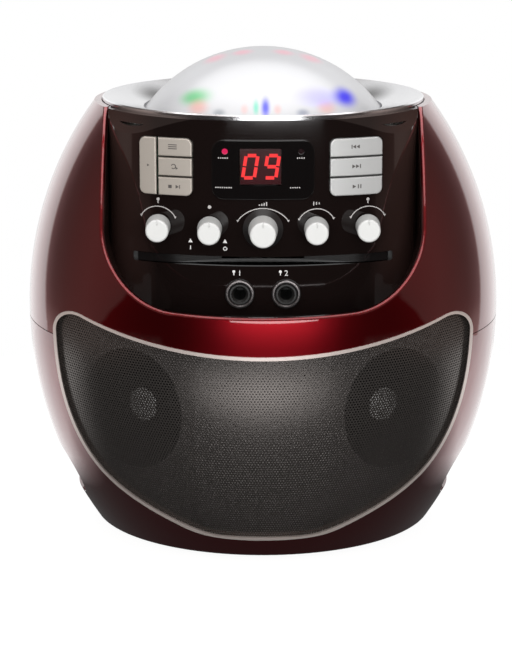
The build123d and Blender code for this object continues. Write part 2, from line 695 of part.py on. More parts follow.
# --- control panel and what it carries ---
def control_panel():
    face = panel_layer(0, -PANEL_T, TROUGH_Z - PANEL_WALL, PANEL_TOP)
    low = RING_FOOT - LEDGE_T
    cap = upward(panel_plan(0), low, PANEL_TOP)
    shoulder = block(-PANEL_HALF, PANEL_HALF, -60, WELL_BACK, low, PANEL_TOP)
    shoulder &= ball(WALL / 4, SEAM_Z, SHELL_TOP)
    cap += shoulder - upward(panel_plan(-1, 0), 0, OUT * 2)
    cap += face
    cap -= disc_cut(LEDGE_IN, low - 1, RING_FOOT)
    cap -= disc_cut(RING_R + FIT, RING_FOOT, OUT * 2)
    tub = forward(well_face(PANEL_WALL - 0.2, TROUGH_Z, low - FIT), PANEL_BACK, -OUT)
    tub -= forward(well_face(-0.2, TROUGH_Z), 0, -OUT * 2)
    tub &= ball(WALL, SEAM_Z, SHELL_TOP)
    tub -= upward(panel_plan(-PANEL_T, 0), 0, OUT * 2)
    body = cap + tub
    body &= ball(PANEL_TRIM, SEAM_Z, SHELL_TOP)
    for pillar in panel_pillars():
        body += pillar
    for x, r in zip(KNOB_X, knob_radii()):
        body += peg(x, KNOB_Z, knob_foot(x, r) + RUN, panel_y(x, -PANEL_T / 2), r - 0.2)
        body -= peg(x, KNOB_Z, -OUT, BOARD_Y, SHAFT_R + RUN)
    body -= forward(slot_face(), WELL_BACK, -OUT)
    for x0, x1, z0, z1 in key_fields():
        body -= forward(rounded(x0 - RUN, x1 + RUN, z0 - RUN, z1 + RUN, KEY_ROUND), WELL_BACK, -OUT)
    body -= forward(bezel_face(0), WELL_BACK, -OUT)
    for side in (-1, 1):
        body -= peg(side * JACK_X, JACK_Z, -OUT, WELL_BACK, JACK_BUSH_R + FIT)
        body -= peg(side * JACK_X, JACK_Z, -OUT, PANEL_FRONT + JACK_SEAT, JACK_NUT_R + FIT)
    return body


def rounded(x0, x1, z0, z1, r):
    return Pos((x0 + x1) / 2, (z0 + z1) / 2) * RectangleRounded(x1 - x0, z1 - z0, r)


def slot_face():
    """The slot that the tray comes out of."""
    half = TRAY_HALF + TRAY_SIDE_GAP
    return rounded(-half, half, TRAY_Z - SLOT_GAP, TRAY_TOP + SLOT_GAP, 1.0)


def bezel_face(grow):
    return Pos(0, BEZEL_Z) * RectangleRounded(BEZEL_W + 2 * grow, BEZEL_H + 2 * grow,
                                              BEZEL_ROUND + grow)


def knob_radii():
    return [VOLUME_R if x == 0 else KNOB_R for x in KNOB_X]


def knob_foot(x, r):
    """Where a knob's base lies, clear of the curved panel."""
    return panel_y(max(abs(x) - r, 0)) - 2 * RUN


def knob(x):
    """A turned knob on its half shaft, along Y."""
    r = VOLUME_R if x == 0 else KNOB_R
    length = VOLUME_LEN if x == 0 else KNOB_LEN
    taper = VOLUME_TAPER if x == 0 else KNOB_TAPER
    foot = knob_foot(x, r)
    tip = panel_y(x) - length
    body = Pos(x, (foot + tip) / 2, KNOB_Z) * Rot(90, 0, 0) * Cone(r, r - taper, foot - tip)
    body = fillet(body.edges().sort_by(Axis.Y)[0], KNOB_EDGE)
    if x == 0:
        body += Pos(x, foot - SKIRT_T / 2, KNOB_Z) * Rot(90, 0, 0) * Cone(SKIRT_R, r, SKIRT_T)
    shaft = peg(x, KNOB_Z, foot, BOARD_Y - POT_T - RUN, SHAFT_R)
    mark = block(x - KNOB_MARK / 2, x + KNOB_MARK / 2, tip - 1, tip + KNOB_MARK, KNOB_Z + r / 2, KNOB_Z + r)
    return body + shaft - mark


def key_fields():
    """Outer bounds of the two groups of keys: x0, x1, z0, z1."""
    low = KEY_ROW_Z[-1] - KEY_H / 2
    high = KEY_ROW_Z[0] + KEY_H / 2
    return [(TALL_KEY_X[0], LEFT_KEY_X[1], low, high), (RIGHT_KEY_X[0], RIGHT_KEY_X[1], low, high)]


def key(x0, x1, z0, z1, lug_left, lug_right):
    """A key: its cap follows the panel's curve, a lug holds it in and a stem meets its switch."""
    field = key_fields()[0 if x0 < 0 else 1]
    outline = forward(rounded(*field, KEY_ROUND), WELL_BACK, -OUT)
    cell = block(x0, x1, -OUT, WELL_BACK, z0, z1)
    cap = panel_layer(KEY_PROUD, -PANEL_T - 2 * RUN, z0 - 1, z1 + 1) & outline & cell
    cap = fillet(front_edges(cap), KEY_EDGE)
    mid_z = (z0 + z1) / 2
    lug_cell = block(x0 - (KEY_LUG if lug_left else 0), x1 + (KEY_LUG if lug_right else 0),
                     -OUT, WELL_BACK, mid_z - LUG_HALF_H, mid_z + LUG_HALF_H)
    lug = panel_layer(-PANEL_T - 2 * RUN + LAP, -PANEL_T - RUN - LUG_T, z0, z1) & lug_cell
    mid_x = (x0 + x1) / 2
    stem_back = BOARD_Y - SWITCH_H - KEY_TRAVEL - RUN
    stem = peg(mid_x, mid_z, panel_y(mid_x, -PANEL_T / 2), stem_back, STEM_R)
    return cap + lug + stem


def front_edges(shape):
    """Outer edges of the faces that look to the front."""
    fronts = [face for face in shape.faces() if face.normal_at().Y < -0.5]
    edges = [edge for face in fronts for edge in face.outer_wire().edges()]
    return [edge for edge in edges if sum(edge.is_same(other) for other in edges) == 1]


def keys():
    """Name and shape of each key."""
    rows = [(z - KEY_H / 2, z + KEY_H / 2) for z in KEY_ROW_Z]
    named = {"key_program_play": key(*TALL_KEY_X, rows[-1][0], rows[0][1], True, False)}
    for name, (low, high) in zip(("key_source", "key_repeat", "key_stop"), rows):
        named[name] = key(*LEFT_KEY_X, low, high, False, True)
    for name, (low, high) in zip(("key_back", "key_forward", "key_play_pause"), rows):
        named[name] = key(*RIGHT_KEY_X, low, high, True, True)
    return named


def display_bezel():
    """Smoked plate round the digits, a little proud of the panel."""
    low, high = BEZEL_Z - BEZEL_H / 2, BEZEL_Z + BEZEL_H / 2
    body = panel_layer(BEZEL_PROUD, -PANEL_T, low - 1, high + 1) & forward(bezel_face(0), WELL_BACK, -OUT)
    body = fillet(front_edges(body), BEZEL_EDGE)
    window = rounded(DIGITS_X - DIGITS_W / 2, DIGITS_X + DIGITS_W / 2,
                     DIGITS_Z - DIGITS_H / 2, DIGITS_Z + DIGITS_H / 2, 0.8)
    body -= forward(window, WELL_BACK, -OUT)
    for side in (-1, 1):
        body -= peg(side * LAMP_X, LAMP_Z, -OUT, WELL_BACK, LAMP_R)
    return body


def display_module():
    """Two-digit LED block, standing on the control board."""
    half_w, half_h = DIGITS_W / 2 - RUN, DIGITS_H / 2 - RUN
    return block(DIGITS_X - half_w, DIGITS_X + half_w, PANEL_FRONT + DIGITS_DEEP, BOARD_Y,
                 DIGITS_Z - half_h, DIGITS_Z + half_h)


def indicator_lamps():
    """Two small lamps beside the digits, on long legs from the board."""
    lamps = []
    for side in (-1, 1):
        x = side * LAMP_X
        lamps.append(peg(x, LAMP_Z, panel_y(x) - 0.1, BOARD_Y, LAMP_R))
    return Compound(children=lamps)


def control_board():
    low = KNOB_Z - POT_R - BOARD_MARGIN
    board = block(-BOARD_HALF, BOARD_HALF, BOARD_Y, BOARD_Y + BOARD_T, low, BOARD_TOP)
    for x, z in board_screws():
        board -= peg(x, z, BOARD_Y - 1, BOARD_Y + BOARD_T + 1, SCREW_R + FIT)
    return board


def board_screws():
    return [(side * BOARD_SCREW_X, z) for side in (-1, 1) for z in BOARD_SCREW_Z]


def panel_pillars():
    """Pillars behind the panel that the control board is screwed to."""
    pillars = []
    for x, z in board_screws():
        pillars.append(peg(x, z, panel_y(x, -PANEL_T / 2), BOARD_Y, PILLAR_R)
                       - peg(x, z, BOARD_Y - PILLAR_BORE, BOARD_Y + 1, SCREW_R))
    return pillars


def tact_switches():
    parts = []
    for x0, x1, z in key_centres():
        x = (x0 + x1) / 2
        parts.append(block(x - SWITCH_HALF, x + SWITCH_HALF, BOARD_Y - SWITCH_CASE_H, BOARD_Y,
                           z - SWITCH_HALF, z + SWITCH_HALF)
                     + peg(x, z, BOARD_Y - SWITCH_H, BOARD_Y, SWITCH_STEM_R))
    return Compound(children=parts)


def key_centres():
    """x bounds and height of each key's middle."""
    stacks = [(*LEFT_KEY_X, z) for z in KEY_ROW_Z] + [(*RIGHT_KEY_X, z) for z in KEY_ROW_Z]
    return [(*TALL_KEY_X, KEY_ROW_Z[1])] + stacks


def potentiometers():
    """Four potentiometers and the two-way rotary switch, on the control board."""
    parts = []
    for x in KNOB_X:
        can = peg(x, KNOB_Z, BOARD_Y - POT_T, BOARD_Y, POT_R)
        if x == MODE_KNOB_X:
            half = POT_R - FIT
            can = block(x - half, x + half, BOARD_Y - POT_T, BOARD_Y, KNOB_Z - half, KNOB_Z + half)
        parts.append(can)
    return Compound(children=parts)


def mic_jacks():
    """Two jack bodies with threaded bushes, bored for a 6.35 mm plug."""
    parts = []
    front = PANEL_FRONT + JACK_SEAT - JACK_NUT_T
    body_front = panel_y(JACK_X + JACK_BODY / 2, -PANEL_T)
    for side in (-1, 1):
        x = side * JACK_X
        body = block(x - JACK_BODY / 2, x + JACK_BODY / 2, body_front, front + JACK_LEN,
                     JACK_Z - JACK_BODY / 2, JACK_Z + JACK_BODY / 2)
        body += peg(x, JACK_Z, front, body_front, JACK_BUSH_R)
        body -= peg(x, JACK_Z, front - 1, front + JACK_LEN - JACK_END_T, JACK_BORE)
        body -= Pos(x, front + JACK_MOUTH_DEEP / 2, JACK_Z) * Rot(90, 0, 0) * Cone(
            JACK_BORE, JACK_MOUTH_R, JACK_MOUTH_DEEP)
        parts.append(body)
    return Compound(children=parts)


def mic_jack_nuts():
    parts = []
    back = PANEL_FRONT + JACK_SEAT
    for side in (-1, 1):
        x = side * JACK_X
        nut = peg(x, JACK_Z, back - JACK_NUT_T, back, JACK_NUT_R)
        nut = fillet(nut.edges().filter_by(GeomType.CIRCLE).sort_by(Axis.Y)[0], JACK_NUT_EDGE)
        nut -= Pos(x, back - JACK_NUT_T + JACK_DISH_DEEP / 2, JACK_Z) * Rot(90, 0, 0) * Cone(
            JACK_BUSH_R, JACK_DISH_R, JACK_DISH_DEEP)
        nut -= peg(x, JACK_Z, back - JACK_NUT_T - 1, back + 1, JACK_BUSH_R)
        parts.append(nut)
    return Compound(children=parts)


# --- top ring and light dome ---
def top_ring():
    """Bright ring: a short outer wall, a funnel down to the dome and bosses for the base plate."""
    crest = RING_R - 2 * RING_BEVEL
    slope = (RING_TOP - RING_IN_TOP) / (crest - RING_IN)
    under = RING_TOP - slope * (crest - RING_R + RING_WALL) - RING_T
    body = spun([(RING_R - RING_WALL, RING_FOOT), (RING_R, RING_FOOT), (RING_R, RING_TOP - RING_BEVEL),
                 (RING_R - RING_BEVEL, RING_TOP), (crest, RING_TOP), (RING_IN, RING_IN_TOP),
                 (RING_IN, RING_IN_TOP - RING_T), (RING_R - RING_WALL, under)])
    for x, y in around(BASE_POSTS, BASE_POST_AT):
        boss = post(x, y, PLATE_TOP, under - POST_UNDER, BASE_POST_R)
        body += boss - post(x, y, PLATE_TOP - 1, PLATE_TOP + BASE_POST_BORE, SCREW_R - RUN)
    return body


def around(count, r):
    """Points evenly spaced on a circle."""
    angles = [math.radians(360 / count * (k + 0.5)) for k in range(count)]
    return [(r * math.cos(a), r * math.sin(a)) for a in angles]


def dome_cap(r, low):
    """Part of the dome's ball above a height."""
    return Pos(0, 0, DOME_CZ) * Sphere(r) & disc_cut(OUT, low, DOME_TOP + 1)


def dome_lens():
    low = PLATE_TOP
    body = dome_cap(DOME_R, low) + disc_cut(DOME_FLANGE_R, low, DOME_SEAT_Z)
    return body - dome_cap(DOME_R - DOME_T, low - 1)


def dome_base():
    """Reflector plate under the dome, with the pin that the lens rotor spins on."""
    low = PLATE_TOP - BASE_PLATE_T
    body = disc_cut(BASE_PLATE_R, low, PLATE_TOP)
    body += disc_cut(SPIN_PIN_R, low, SPIN_PIN_TOP)
    body += disc_cut(SPIN_PIN_R + PIN_COLLAR, low, PLATE_TOP + ROTOR_LIFT)
    body -= post(PINION_X, 0, low - 1, PLATE_TOP + 1, AXLE_HOLE_R)
    for x, y in around(BASE_POSTS, BASE_POST_AT):
        body -= post(x, y, low - 1, PLATE_TOP + 1, SCREW_R)
    return body


def disco_leds():
    parts = []
    for x, y in around(4, LED_AT):
        lamp = post(x, y, PLATE_TOP, PLATE_TOP + LED_H - LED_R, LED_R)
        lamp += Pos(x, y, PLATE_TOP + LED_H - LED_R) * Sphere(LED_R)
        parts.append(lamp + post(x, y, PLATE_TOP, PLATE_TOP + LED_COLLAR_T, LED_R + LED_COLLAR))
    return Compound(children=parts)


def disco_motor():
    low = PLATE_TOP - BASE_PLATE_T
    body = post(PINION_X, 0, low - DISCO_MOTOR_H, low, DISCO_MOTOR_R)
    return body - post(PINION_X, 0, low - DISCO_SHAFT - 1, low + 1, SPINDLE_R + RUN_FIT)


def gear_face(teeth, bore):
    """Involute gear outline for GEAR_MODULE, with a little backlash."""
    pitch = GEAR_MODULE * teeth / 2
    base = pitch * math.cos(PRESSURE)
    tip = pitch + GEAR_ADDENDUM * GEAR_MODULE
    root = pitch - GEAR_DEDENDUM * GEAR_MODULE
    half = math.pi / (2 * teeth) - BACKLASH / (2 * pitch)
    at_pitch = math.tan(PRESSURE) - PRESSURE

    def flank(r):
        """Half of the tooth's angle at a radius."""
        if r <= base:
            return half + at_pitch
        a = math.acos(base / r)
        return half + at_pitch - (math.tan(a) - a)

    radii = [root, max(base, root + 0.01), (max(base, root) + tip) / 2, tip]
    points = []
    for k in range(teeth):
        middle = 2 * math.pi * k / teeth
        side = [(r, flank(r)) for r in radii]
        for r, a in side:
            points.append((r * math.cos(middle - a), r * math.sin(middle - a)))
        for r, a in reversed(side):
            points.append((r * math.cos(middle + a), r * math.sin(middle + a)))
    face = make_face(Polyline(*points, close=True))
    return face - Circle(bore)


def facet_cap(shrink, low):
    """Faceted cap: many-sided slices of the ball round the dome's centre."""
    r = ROTOR_R - shrink
    heights = [low] + [DOME_CZ + r * math.cos(math.radians(a)) for a in ROTOR_RINGS]
    heights = [z for z in heights if z >= low]
    body = None
    turn = 0.0
    for z0, z1 in zip(heights, heights[1:]):
        r0 = math.sqrt(r ** 2 - (z0 - DOME_CZ) ** 2)
        r1 = math.sqrt(max(r ** 2 - (z1 - DOME_CZ) ** 2, 0))
        slice_ = loft([Plane.XY.offset(z0) * RegularPolygon(r0, ROTOR_SIDES),
                       Plane.XY.offset(z1) * RegularPolygon(max(r1, 2), ROTOR_SIDES)], ruled=True)
        body = slice_ if body is None else body + slice_
    return body


def lens_rotor():
    """Spinning faceted lens with its ring gear and hub."""
    low = PLATE_TOP + ROTOR_LIFT
    rim = low + GEAR_FACE
    body = facet_cap(0, rim) - facet_cap(ROTOR_T, rim - 0.01)
    top = DOME_CZ + ROTOR_R - ROTOR_T / 2
    body += disc_cut(SPIN_PIN_R + PIN_BOSS, SPIN_PIN_TOP - HUB_H, top)
    body -= disc_cut(SPIN_PIN_R + RUN_FIT, SPIN_PIN_TOP - HUB_H - 1, SPIN_PIN_TOP + ROTOR_LIFT)
    web = disc_cut(ROTOR_WEB_R, rim - 0.01, rim + ROTOR_T) - disc_cut(ROTOR_BORE, 0, OUT * 2)
    gear = upward(gear_face(ROTOR_TEETH, ROTOR_BORE), low, rim)
    return body + web + gear


def disco_pinion():
    low = PLATE_TOP + ROTOR_LIFT
    phase = Rot(0, 0, 180 + 180 / PINION_TEETH)
    gear = upward(gear_face(PINION_TEETH, 0.01), low, low + GEAR_FACE - RUN)
    body = Pos(PINION_X, 0, 0) * phase * gear
    motor_top = PLATE_TOP - BASE_PLATE_T
    return body + post(PINION_X, 0, motor_top - DISCO_SHAFT, low + 1, SPINDLE_R)


# --- disc loader ---
def disc_tray():
    """Tray plate with its disc pocket, an open slot for the turntable and a rack along one arm."""
    shape = upward(panel_plan(-TRAY_INSET, TRAY_BACK), TRAY_Z, TRAY_TOP)
    body = shape & block(-TRAY_HALF, TRAY_HALF, -OUT, TRAY_BACK, 0, OUT * 2)
    body += block(ARM_IN, TRAY_HALF, TRAY_BACK - 10, rack_back(), TRAY_Z, TRAY_TOP)
    body -= post(0, DISC_Y, TRAY_TOP - DISC_POCKET_DEEP, TRAY_TOP + 1, DISC_POCKET_R)
    body -= post(0, DISC_Y, 0, OUT * 2, TRAY_SLOT_HALF)
    body -= block(-TRAY_SLOT_HALF, TRAY_SLOT_HALF, DISC_Y, OUT, 0, OUT * 2)
    return body - rack_gaps()


def rack_back():
    """Back end of the rack: the gear still meshes when the tray is fully out."""
    return TRAY_GEAR_Y + TRAY_TRAVEL + 4 * GEAR_MODULE


def rack_gaps():
    """The spaces between the rack's teeth, cut into the tray's right edge."""
    pitch = math.pi * GEAR_MODULE
    line = TRAY_HALF - GEAR_MODULE
    high = line + GEAR_MODULE * 1.2
    low = line - GEAR_MODULE * GEAR_DEDENDUM
    slope = math.tan(PRESSURE)
    count = int((rack_back() - TRAY_GEAR_Y) / pitch) + 4
    gap = Polyline((low, -pitch / 4 - BACKLASH / 4 + (line - low) * slope),
                   (low, pitch / 4 + BACKLASH / 4 - (line - low) * slope),
                   (high, pitch / 4 + BACKLASH / 4 + (high - line) * slope),
                   (high, -pitch / 4 - BACKLASH / 4 - (high - line) * slope), close=True)
    one = upward(make_face(gap), TRAY_Z - 1, TRAY_TOP + 1)
    return [Pos(0, TRAY_GEAR_Y + pitch * (k - 2)) * one for k in range(count)]


def tray_gear():
    """Loading gear with its belt pulley below the chassis, on one shaft."""
    x, y = TRAY_GEAR_X, TRAY_GEAR_Y
    gear = upward(gear_face(TRAY_GEAR_TEETH, 0.01), TRAY_Z + RUN, TRAY_TOP - RUN)
    body = Pos(x, y) * Rot(0, 0, 180) * gear
    body += post(x, y, pulley_top() - LAP, TRAY_Z + 1, SHAFT_R)
    return body + Pos(x, y) * pulley(PULLEY_R)


def pulley_top():
    return CHASSIS_LOW - RUN


def pulley(r):
    """Belt pulley with a groove, centred on its own axis."""
    high = pulley_top()
    mid = high - PULLEY_T / 2
    body = disc_cut(r, high - PULLEY_T, high)
    groove = disc_cut(OUT, mid - BELT_W / 2 - RUN, mid + BELT_W / 2 + RUN) - disc_cut(
        r - BELT_W - RUN, 0, OUT * 2)
    return body - groove


def motor_pulley():
    x, y = MOTOR_AT
    shaft = post(x, y, pulley_top() - LAP, CHASSIS_TOP + MOTOR_SHAFT, SPINDLE_R)
    return Pos(x, y) * pulley(MOTOR_PULLEY_R) + shaft


def loading_motor():
    x, y = MOTOR_AT
    body = post(x, y, CHASSIS_TOP, CHASSIS_TOP + MOTOR_H, MOTOR_R)
    return body - post(x, y, CHASSIS_TOP - 1, CHASSIS_TOP + MOTOR_SHAFT + 1, SPINDLE_R + RUN_FIT)


def loading_belt():
    """Flat loop round both pulleys."""
    mid = pulley_top() - PULLEY_T / 2
    big = PULLEY_R - BELT_W - RUN + BELT_SLACK
    small = MOTOR_PULLEY_R - BELT_W - RUN + BELT_SLACK
    run = loop_face(big + BELT_W, small + BELT_W) - loop_face(big, small)
    return upward(run, mid - BELT_W / 2, mid + BELT_W / 2)


def loop_face(r0, r1):
    """Outline of a loop round the gear's pulley (r0) and the motor's (r1)."""
    x0, y0 = TRAY_GEAR_X, TRAY_GEAR_Y
    x1, y1 = MOTOR_AT
    far = math.hypot(x1 - x0, y1 - y0)
    heading = math.atan2(y1 - y0, x1 - x0)
    lean = math.acos((r0 - r1) / far)
    corners = []
    for sign in (1, -1):
        a = heading + sign * lean
        corners.append(((x0 + r0 * math.cos(a), y0 + r0 * math.sin(a)),
                        (x1 + r1 * math.cos(a), y1 + r1 * math.sin(a))))
    (a0, a1), (b0, b1) = corners
    band = make_face(Polyline(a0, a1, b1, b0, close=True))
    return band + Pos(x0, y0) * Circle(r0) + Pos(x1, y1) * Circle(r1)


def loader_chassis():
    """Chassis with the tray's side channels, the pickup window and lugs for gear and motor."""
    body = block(-RAIL_IN - RAIL_W, RAIL_IN + RAIL_W, CHASSIS_FRONT, CHASSIS_BACK,
                 CHASSIS_LOW, CHASSIS_TOP)
    body -= block(-WINDOW_HALF, WINDOW_HALF, WINDOW_FRONT, WINDOW_BACK, 0, OUT * 2)
    for side in (-1, 1):
        wall = block(RAIL_IN, RAIL_IN + RAIL_W, CHASSIS_FRONT, CHASSIS_BACK, CHASSIS_LOW, RAIL_TOP)
        wall += block(RAIL_IN - RAIL_LEDGE_W, RAIL_IN + LAP, CHASSIS_FRONT, CHASSIS_BACK,
                      CHASSIS_TOP - LAP, TRAY_Z - RUN)
        wall += block(RAIL_IN - RAIL_LIP_W, RAIL_IN + LAP, CHASSIS_FRONT, CHASSIS_BACK,
                      RAIL_TOP - RAIL_LIP_T, RAIL_TOP)
        body += wall if side > 0 else mirror(wall, Plane.YZ)
        near = PICKUP_HALF + EAR_GAP
        ear = pin(HINGE_Y, hinge_z(), near, near + EAR_T, EAR_R)
        ear += block(near, near + EAR_T, HINGE_Y - EAR_R, HINGE_Y + EAR_R, hinge_z(), CHASSIS_LOW + LAP)
        body += ear if side > 0 else mirror(ear, Plane.YZ)
    gear_r = TRAY_GEAR_R + GEAR_MODULE + 2 * RUN
    lug = block(RAIL_IN, TRAY_GEAR_X, TRAY_GEAR_Y - gear_r, MOTOR_AT[1] + MOTOR_R,
                CHASSIS_LOW, CHASSIS_TOP)
    lug += post(TRAY_GEAR_X, TRAY_GEAR_Y, CHASSIS_LOW, CHASSIS_TOP, gear_r)
    lug += post(*MOTOR_AT, CHASSIS_LOW, CHASSIS_TOP, MOTOR_R + MOTOR_LUG)
    body += lug
    body -= post(TRAY_GEAR_X, TRAY_GEAR_Y, CHASSIS_TOP, OUT * 2, gear_r)
    body -= post(TRAY_GEAR_X, TRAY_GEAR_Y, 0, OUT * 2, SHAFT_R + RUN_FIT)
    body -= post(*MOTOR_AT, 0, CHASSIS_TOP + 1, SPINDLE_R + RUN)
    body -= post(*MOTOR_AT, CHASSIS_TOP, OUT * 2, MOTOR_R + FIT)
    return body - pin(HINGE_Y, hinge_z(), -OUT, OUT, HINGE_PIN_R + RUN_FIT)


def hinge_z():
    return CHASSIS_LOW - PICKUP_T / 2 - 2 * RUN


def clamp_bridge():
    """Beam over the tray that carries the disc clamp."""
    low = RAIL_TOP + BRIDGE_LIFT
    y0, y1 = DISC_Y - BRIDGE_HALF_Y, DISC_Y + BRIDGE_HALF_Y
    reach = RAIL_IN + RAIL_W
    body = block(-reach, reach, y0, y1, low, low + BRIDGE_T)
    for side in (-1, 1):
        x0, x1 = sorted((side * RAIL_IN, side * reach))
        body += block(x0, x1, y0, y1, RAIL_TOP, low + LAP)
    return body - post(0, DISC_Y, 0, OUT * 2, CLAMP_STEM_R + RUN)


def clamp_disc():
    """Clamp that presses the disc on the turntable; it hangs in the bridge."""
    low = table_top() + DISC_T + 2 * RUN
    bridge_low = RAIL_TOP + BRIDGE_LIFT
    body = post(0, DISC_Y, low, bridge_low - 2 * RUN, CLAMP_R)
    head = bridge_low + BRIDGE_T + RUN
    body += post(0, DISC_Y, low, head + CLAMP_HEAD_T, CLAMP_STEM_R)
    body += post(0, DISC_Y, head, head + CLAMP_HEAD_T, CLAMP_STEM_R + CLAMP_HEAD)
    return body - post(0, DISC_Y, low - 1, low + CONE_RISE, CONE_BASE_R + RUN)


def table_top():
    """Height that the disc is carried at: just clear of the tray's pocket."""
    return TRAY_TOP - DISC_POCKET_DEEP + DISC_CLEAR


def loader_stand():
    """Folded frame that holds the chassis above the floor of the lower shell."""
    high = CHASSIS_LOW
    half = STAND_BAR / 2
    body = block(-RAIL_IN, RAIL_IN, STAND_FRONT_Y - half, STAND_FRONT_Y + half, high - BAR_T, high)
    body += block(-RAIL_IN, RAIL_IN, STAND_BACK_Y - half, STAND_BACK_Y + half, high - BAR_T, high)
    for side in (-1, 1):
        x = side * STAND_RAIL_X
        body += block(x - half / 2, x + half / 2, STAND_FRONT_Y, STAND_BACK_Y, high - BAR_T,
                      high - STAND_STEP)
    for x, y in floor_seats():
        foot = FLOOR_Z + FLOOR_PAD
        body += block(x - half, x + half, y - half, y + half, foot, high - BAR_T / 2)
        body += post(x, y, foot, foot + STAND_FOOT_T, STAND_FOOT_R)
        body -= post(x, y, 0, foot + STAND_BORE, SCREW_R)
    return body


def pickup_frame():
    """Drop frame that carries the turntable and the pickup; it hinges at the back."""
    z = hinge_z()
    low, high = z - PICKUP_T / 2, z + PICKUP_T / 2
    reach = PICKUP_HALF + PICKUP_PIN_OUT
    inner = ROD_X - ROD_STRIP
    body = block(-PICKUP_HALF, PICKUP_HALF, PICKUP_FRONT, HINGE_Y, low, high)
    body += pin(HINGE_Y, z, -reach, reach, HINGE_PIN_R)
    body -= block(-inner, inner, PICKUP_OPEN, ROD_BACK - PICKUP_STEP, 0, OUT * 2)
    body -= post(0, DISC_Y, 0, OUT * 2, HUB_R + 1)
    wide, long = ROD_BLOCK
    for side in (-1, 1):
        x = side * ROD_X
        for y in (ROD_FRONT, ROD_BACK):
            body += block(x - wide / 2, x + wide / 2, y - long / 2, y + long / 2, high - LAP,
                          rod_z() + ROD_R + 1)
        body -= peg(x, rod_z(), ROD_FRONT - long, ROD_BACK + long, ROD_R)
    return body


def rod_z():
    return hinge_z() + PICKUP_T / 2 + ROD_RISE


def guide_rods():
    return Compound(children=[peg(side * ROD_X, rod_z(), ROD_FRONT - ROD_OUT, ROD_BACK + ROD_OUT, ROD_R)
                              for side in (-1, 1)])


def pickup_carriage():
    """Laser pickup on its two rods, with the lens at the disc's inner track."""
    z = rod_z()
    body = block(-CARRIAGE_HALF_X, CARRIAGE_HALF_X, CARRIAGE_Y - CARRIAGE_HALF_Y,
                 CARRIAGE_Y + CARRIAGE_HALF_Y, z - CARRIAGE_T / 2, z + CARRIAGE_T / 2)
    wide, long = OPTIC_HALF
    body += block(-wide, wide, CARRIAGE_Y - long, CARRIAGE_Y + long, z, TRAY_Z + OPTIC_RISE)
    body += post(0, CARRIAGE_Y, TRAY_Z, TRAY_Z + LENS_RISE, LENS_R)
    for side in (-1, 1):
        body -= peg(side * ROD_X, z, -OUT, OUT, ROD_R + RUN_FIT)
    return body


def spindle_motor():
    high = hinge_z() - PICKUP_T / 2
    body = post(0, DISC_Y, high - SPINDLE_MOTOR_H, high, SPINDLE_MOTOR_R)
    return body - post(0, DISC_Y, high - SPINDLE_MOTOR_H + MOTOR_END_T, high + 1, SPINDLE_R + RUN_FIT)


def turntable():
    top = table_top()
    low = hinge_z() - PICKUP_T / 2
    body = post(0, DISC_Y, top - TABLE_T, top, TABLE_R)
    body += post(0, DISC_Y, low + RUN, top - LAP, HUB_R)
    body += Pos(0, DISC_Y, top + CONE_RISE / 2) * Cone(CONE_BASE_R, CONE_TOP_R, CONE_RISE)
    return body + post(0, DISC_Y, low - SPINDLE_MOTOR_H + 2 * MOTOR_END_T, low + 2 * RUN, SPINDLE_R)


# --- back, base and electronics ---
def inlet_face(grow, round_):
    """Outline of the inlet, grown or shrunk."""
    half_w, half_h = INLET_W / 2 + grow, INLET_H / 2 + grow
    return rounded(INLET_X - half_w, INLET_X + half_w, BACK_Z - half_h, BACK_Z + half_h, round_)


def rear_panel():
    """Connector plate behind the recess at the back."""
    plate = back_form(BACK_FRAME, BACK_SEAT - BACK_T, BACK_SEAT)
    plate -= forward(inlet_face(0, INLET_ROUND), OUT, 0)
    for x in AV_X:
        plate -= peg(x, BACK_Z, 0, OUT, AV_R)
    return plate


def mains_inlet():
    """Two-pin inlet."""
    body = forward(inlet_face(0, INLET_ROUND), BACK_SEAT + LAP, BACK_SEAT - INLET_D)
    body += forward(inlet_face(INLET_RIM, INLET_ROUND + 1), BACK_SEAT + INLET_RIM_T, BACK_SEAT)
    body -= forward(inlet_face(-INLET_WALL, INLET_SOCKET_ROUND), OUT, BACK_SEAT - INLET_D + INLET_END_T)
    for side in (-1, 1):
        body += peg(INLET_X + side * INLET_PIN_GAP / 2, BACK_Z, BACK_SEAT - INLET_D + 1,
                    BACK_SEAT - INLET_WALL, INLET_PIN_R)
    return body


def av_jacks():
    """Picture and sound outputs."""
    parts = []
    for x in AV_X:
        jack = peg(x, BACK_Z, BACK_SEAT - BACK_T - LAP, BACK_SEAT + AV_PROUD, AV_R)
        jack += block(x - AV_BODY / 2, x + AV_BODY / 2, BACK_SEAT - BACK_T - AV_BODY,
                      BACK_SEAT - BACK_T, BACK_Z - AV_BODY / 2, BACK_Z + AV_BODY / 2)
        parts.append(jack - peg(x, BACK_Z, BACK_SEAT - AV_BODY, OUT, AV_BORE))
    return Compound(children=parts)


def rubber_feet():
    feet = []
    for x, y in around(4, FOOT_AT):
        pad = post(x, y, 0, FOOT_H, FOOT_R)
        feet.append(fillet(pad.edges().sort_by(Axis.Z)[0], FOOT_EDGE))
    return Compound(children=feet)


def case_screws():
    """Screws up through the lower shell's wells into the upper shell."""
    screws = []
    for x, y in tower_points():
        head = post(x, y, TOWER_WEB_Z - SCREW_HEAD_T, TOWER_WEB_Z, SCREW_HEAD_R)
        screws.append(head + post(x, y, TOWER_WEB_Z, SCREW_TOP - 1, SCREW_R))
    return Compound(children=screws)


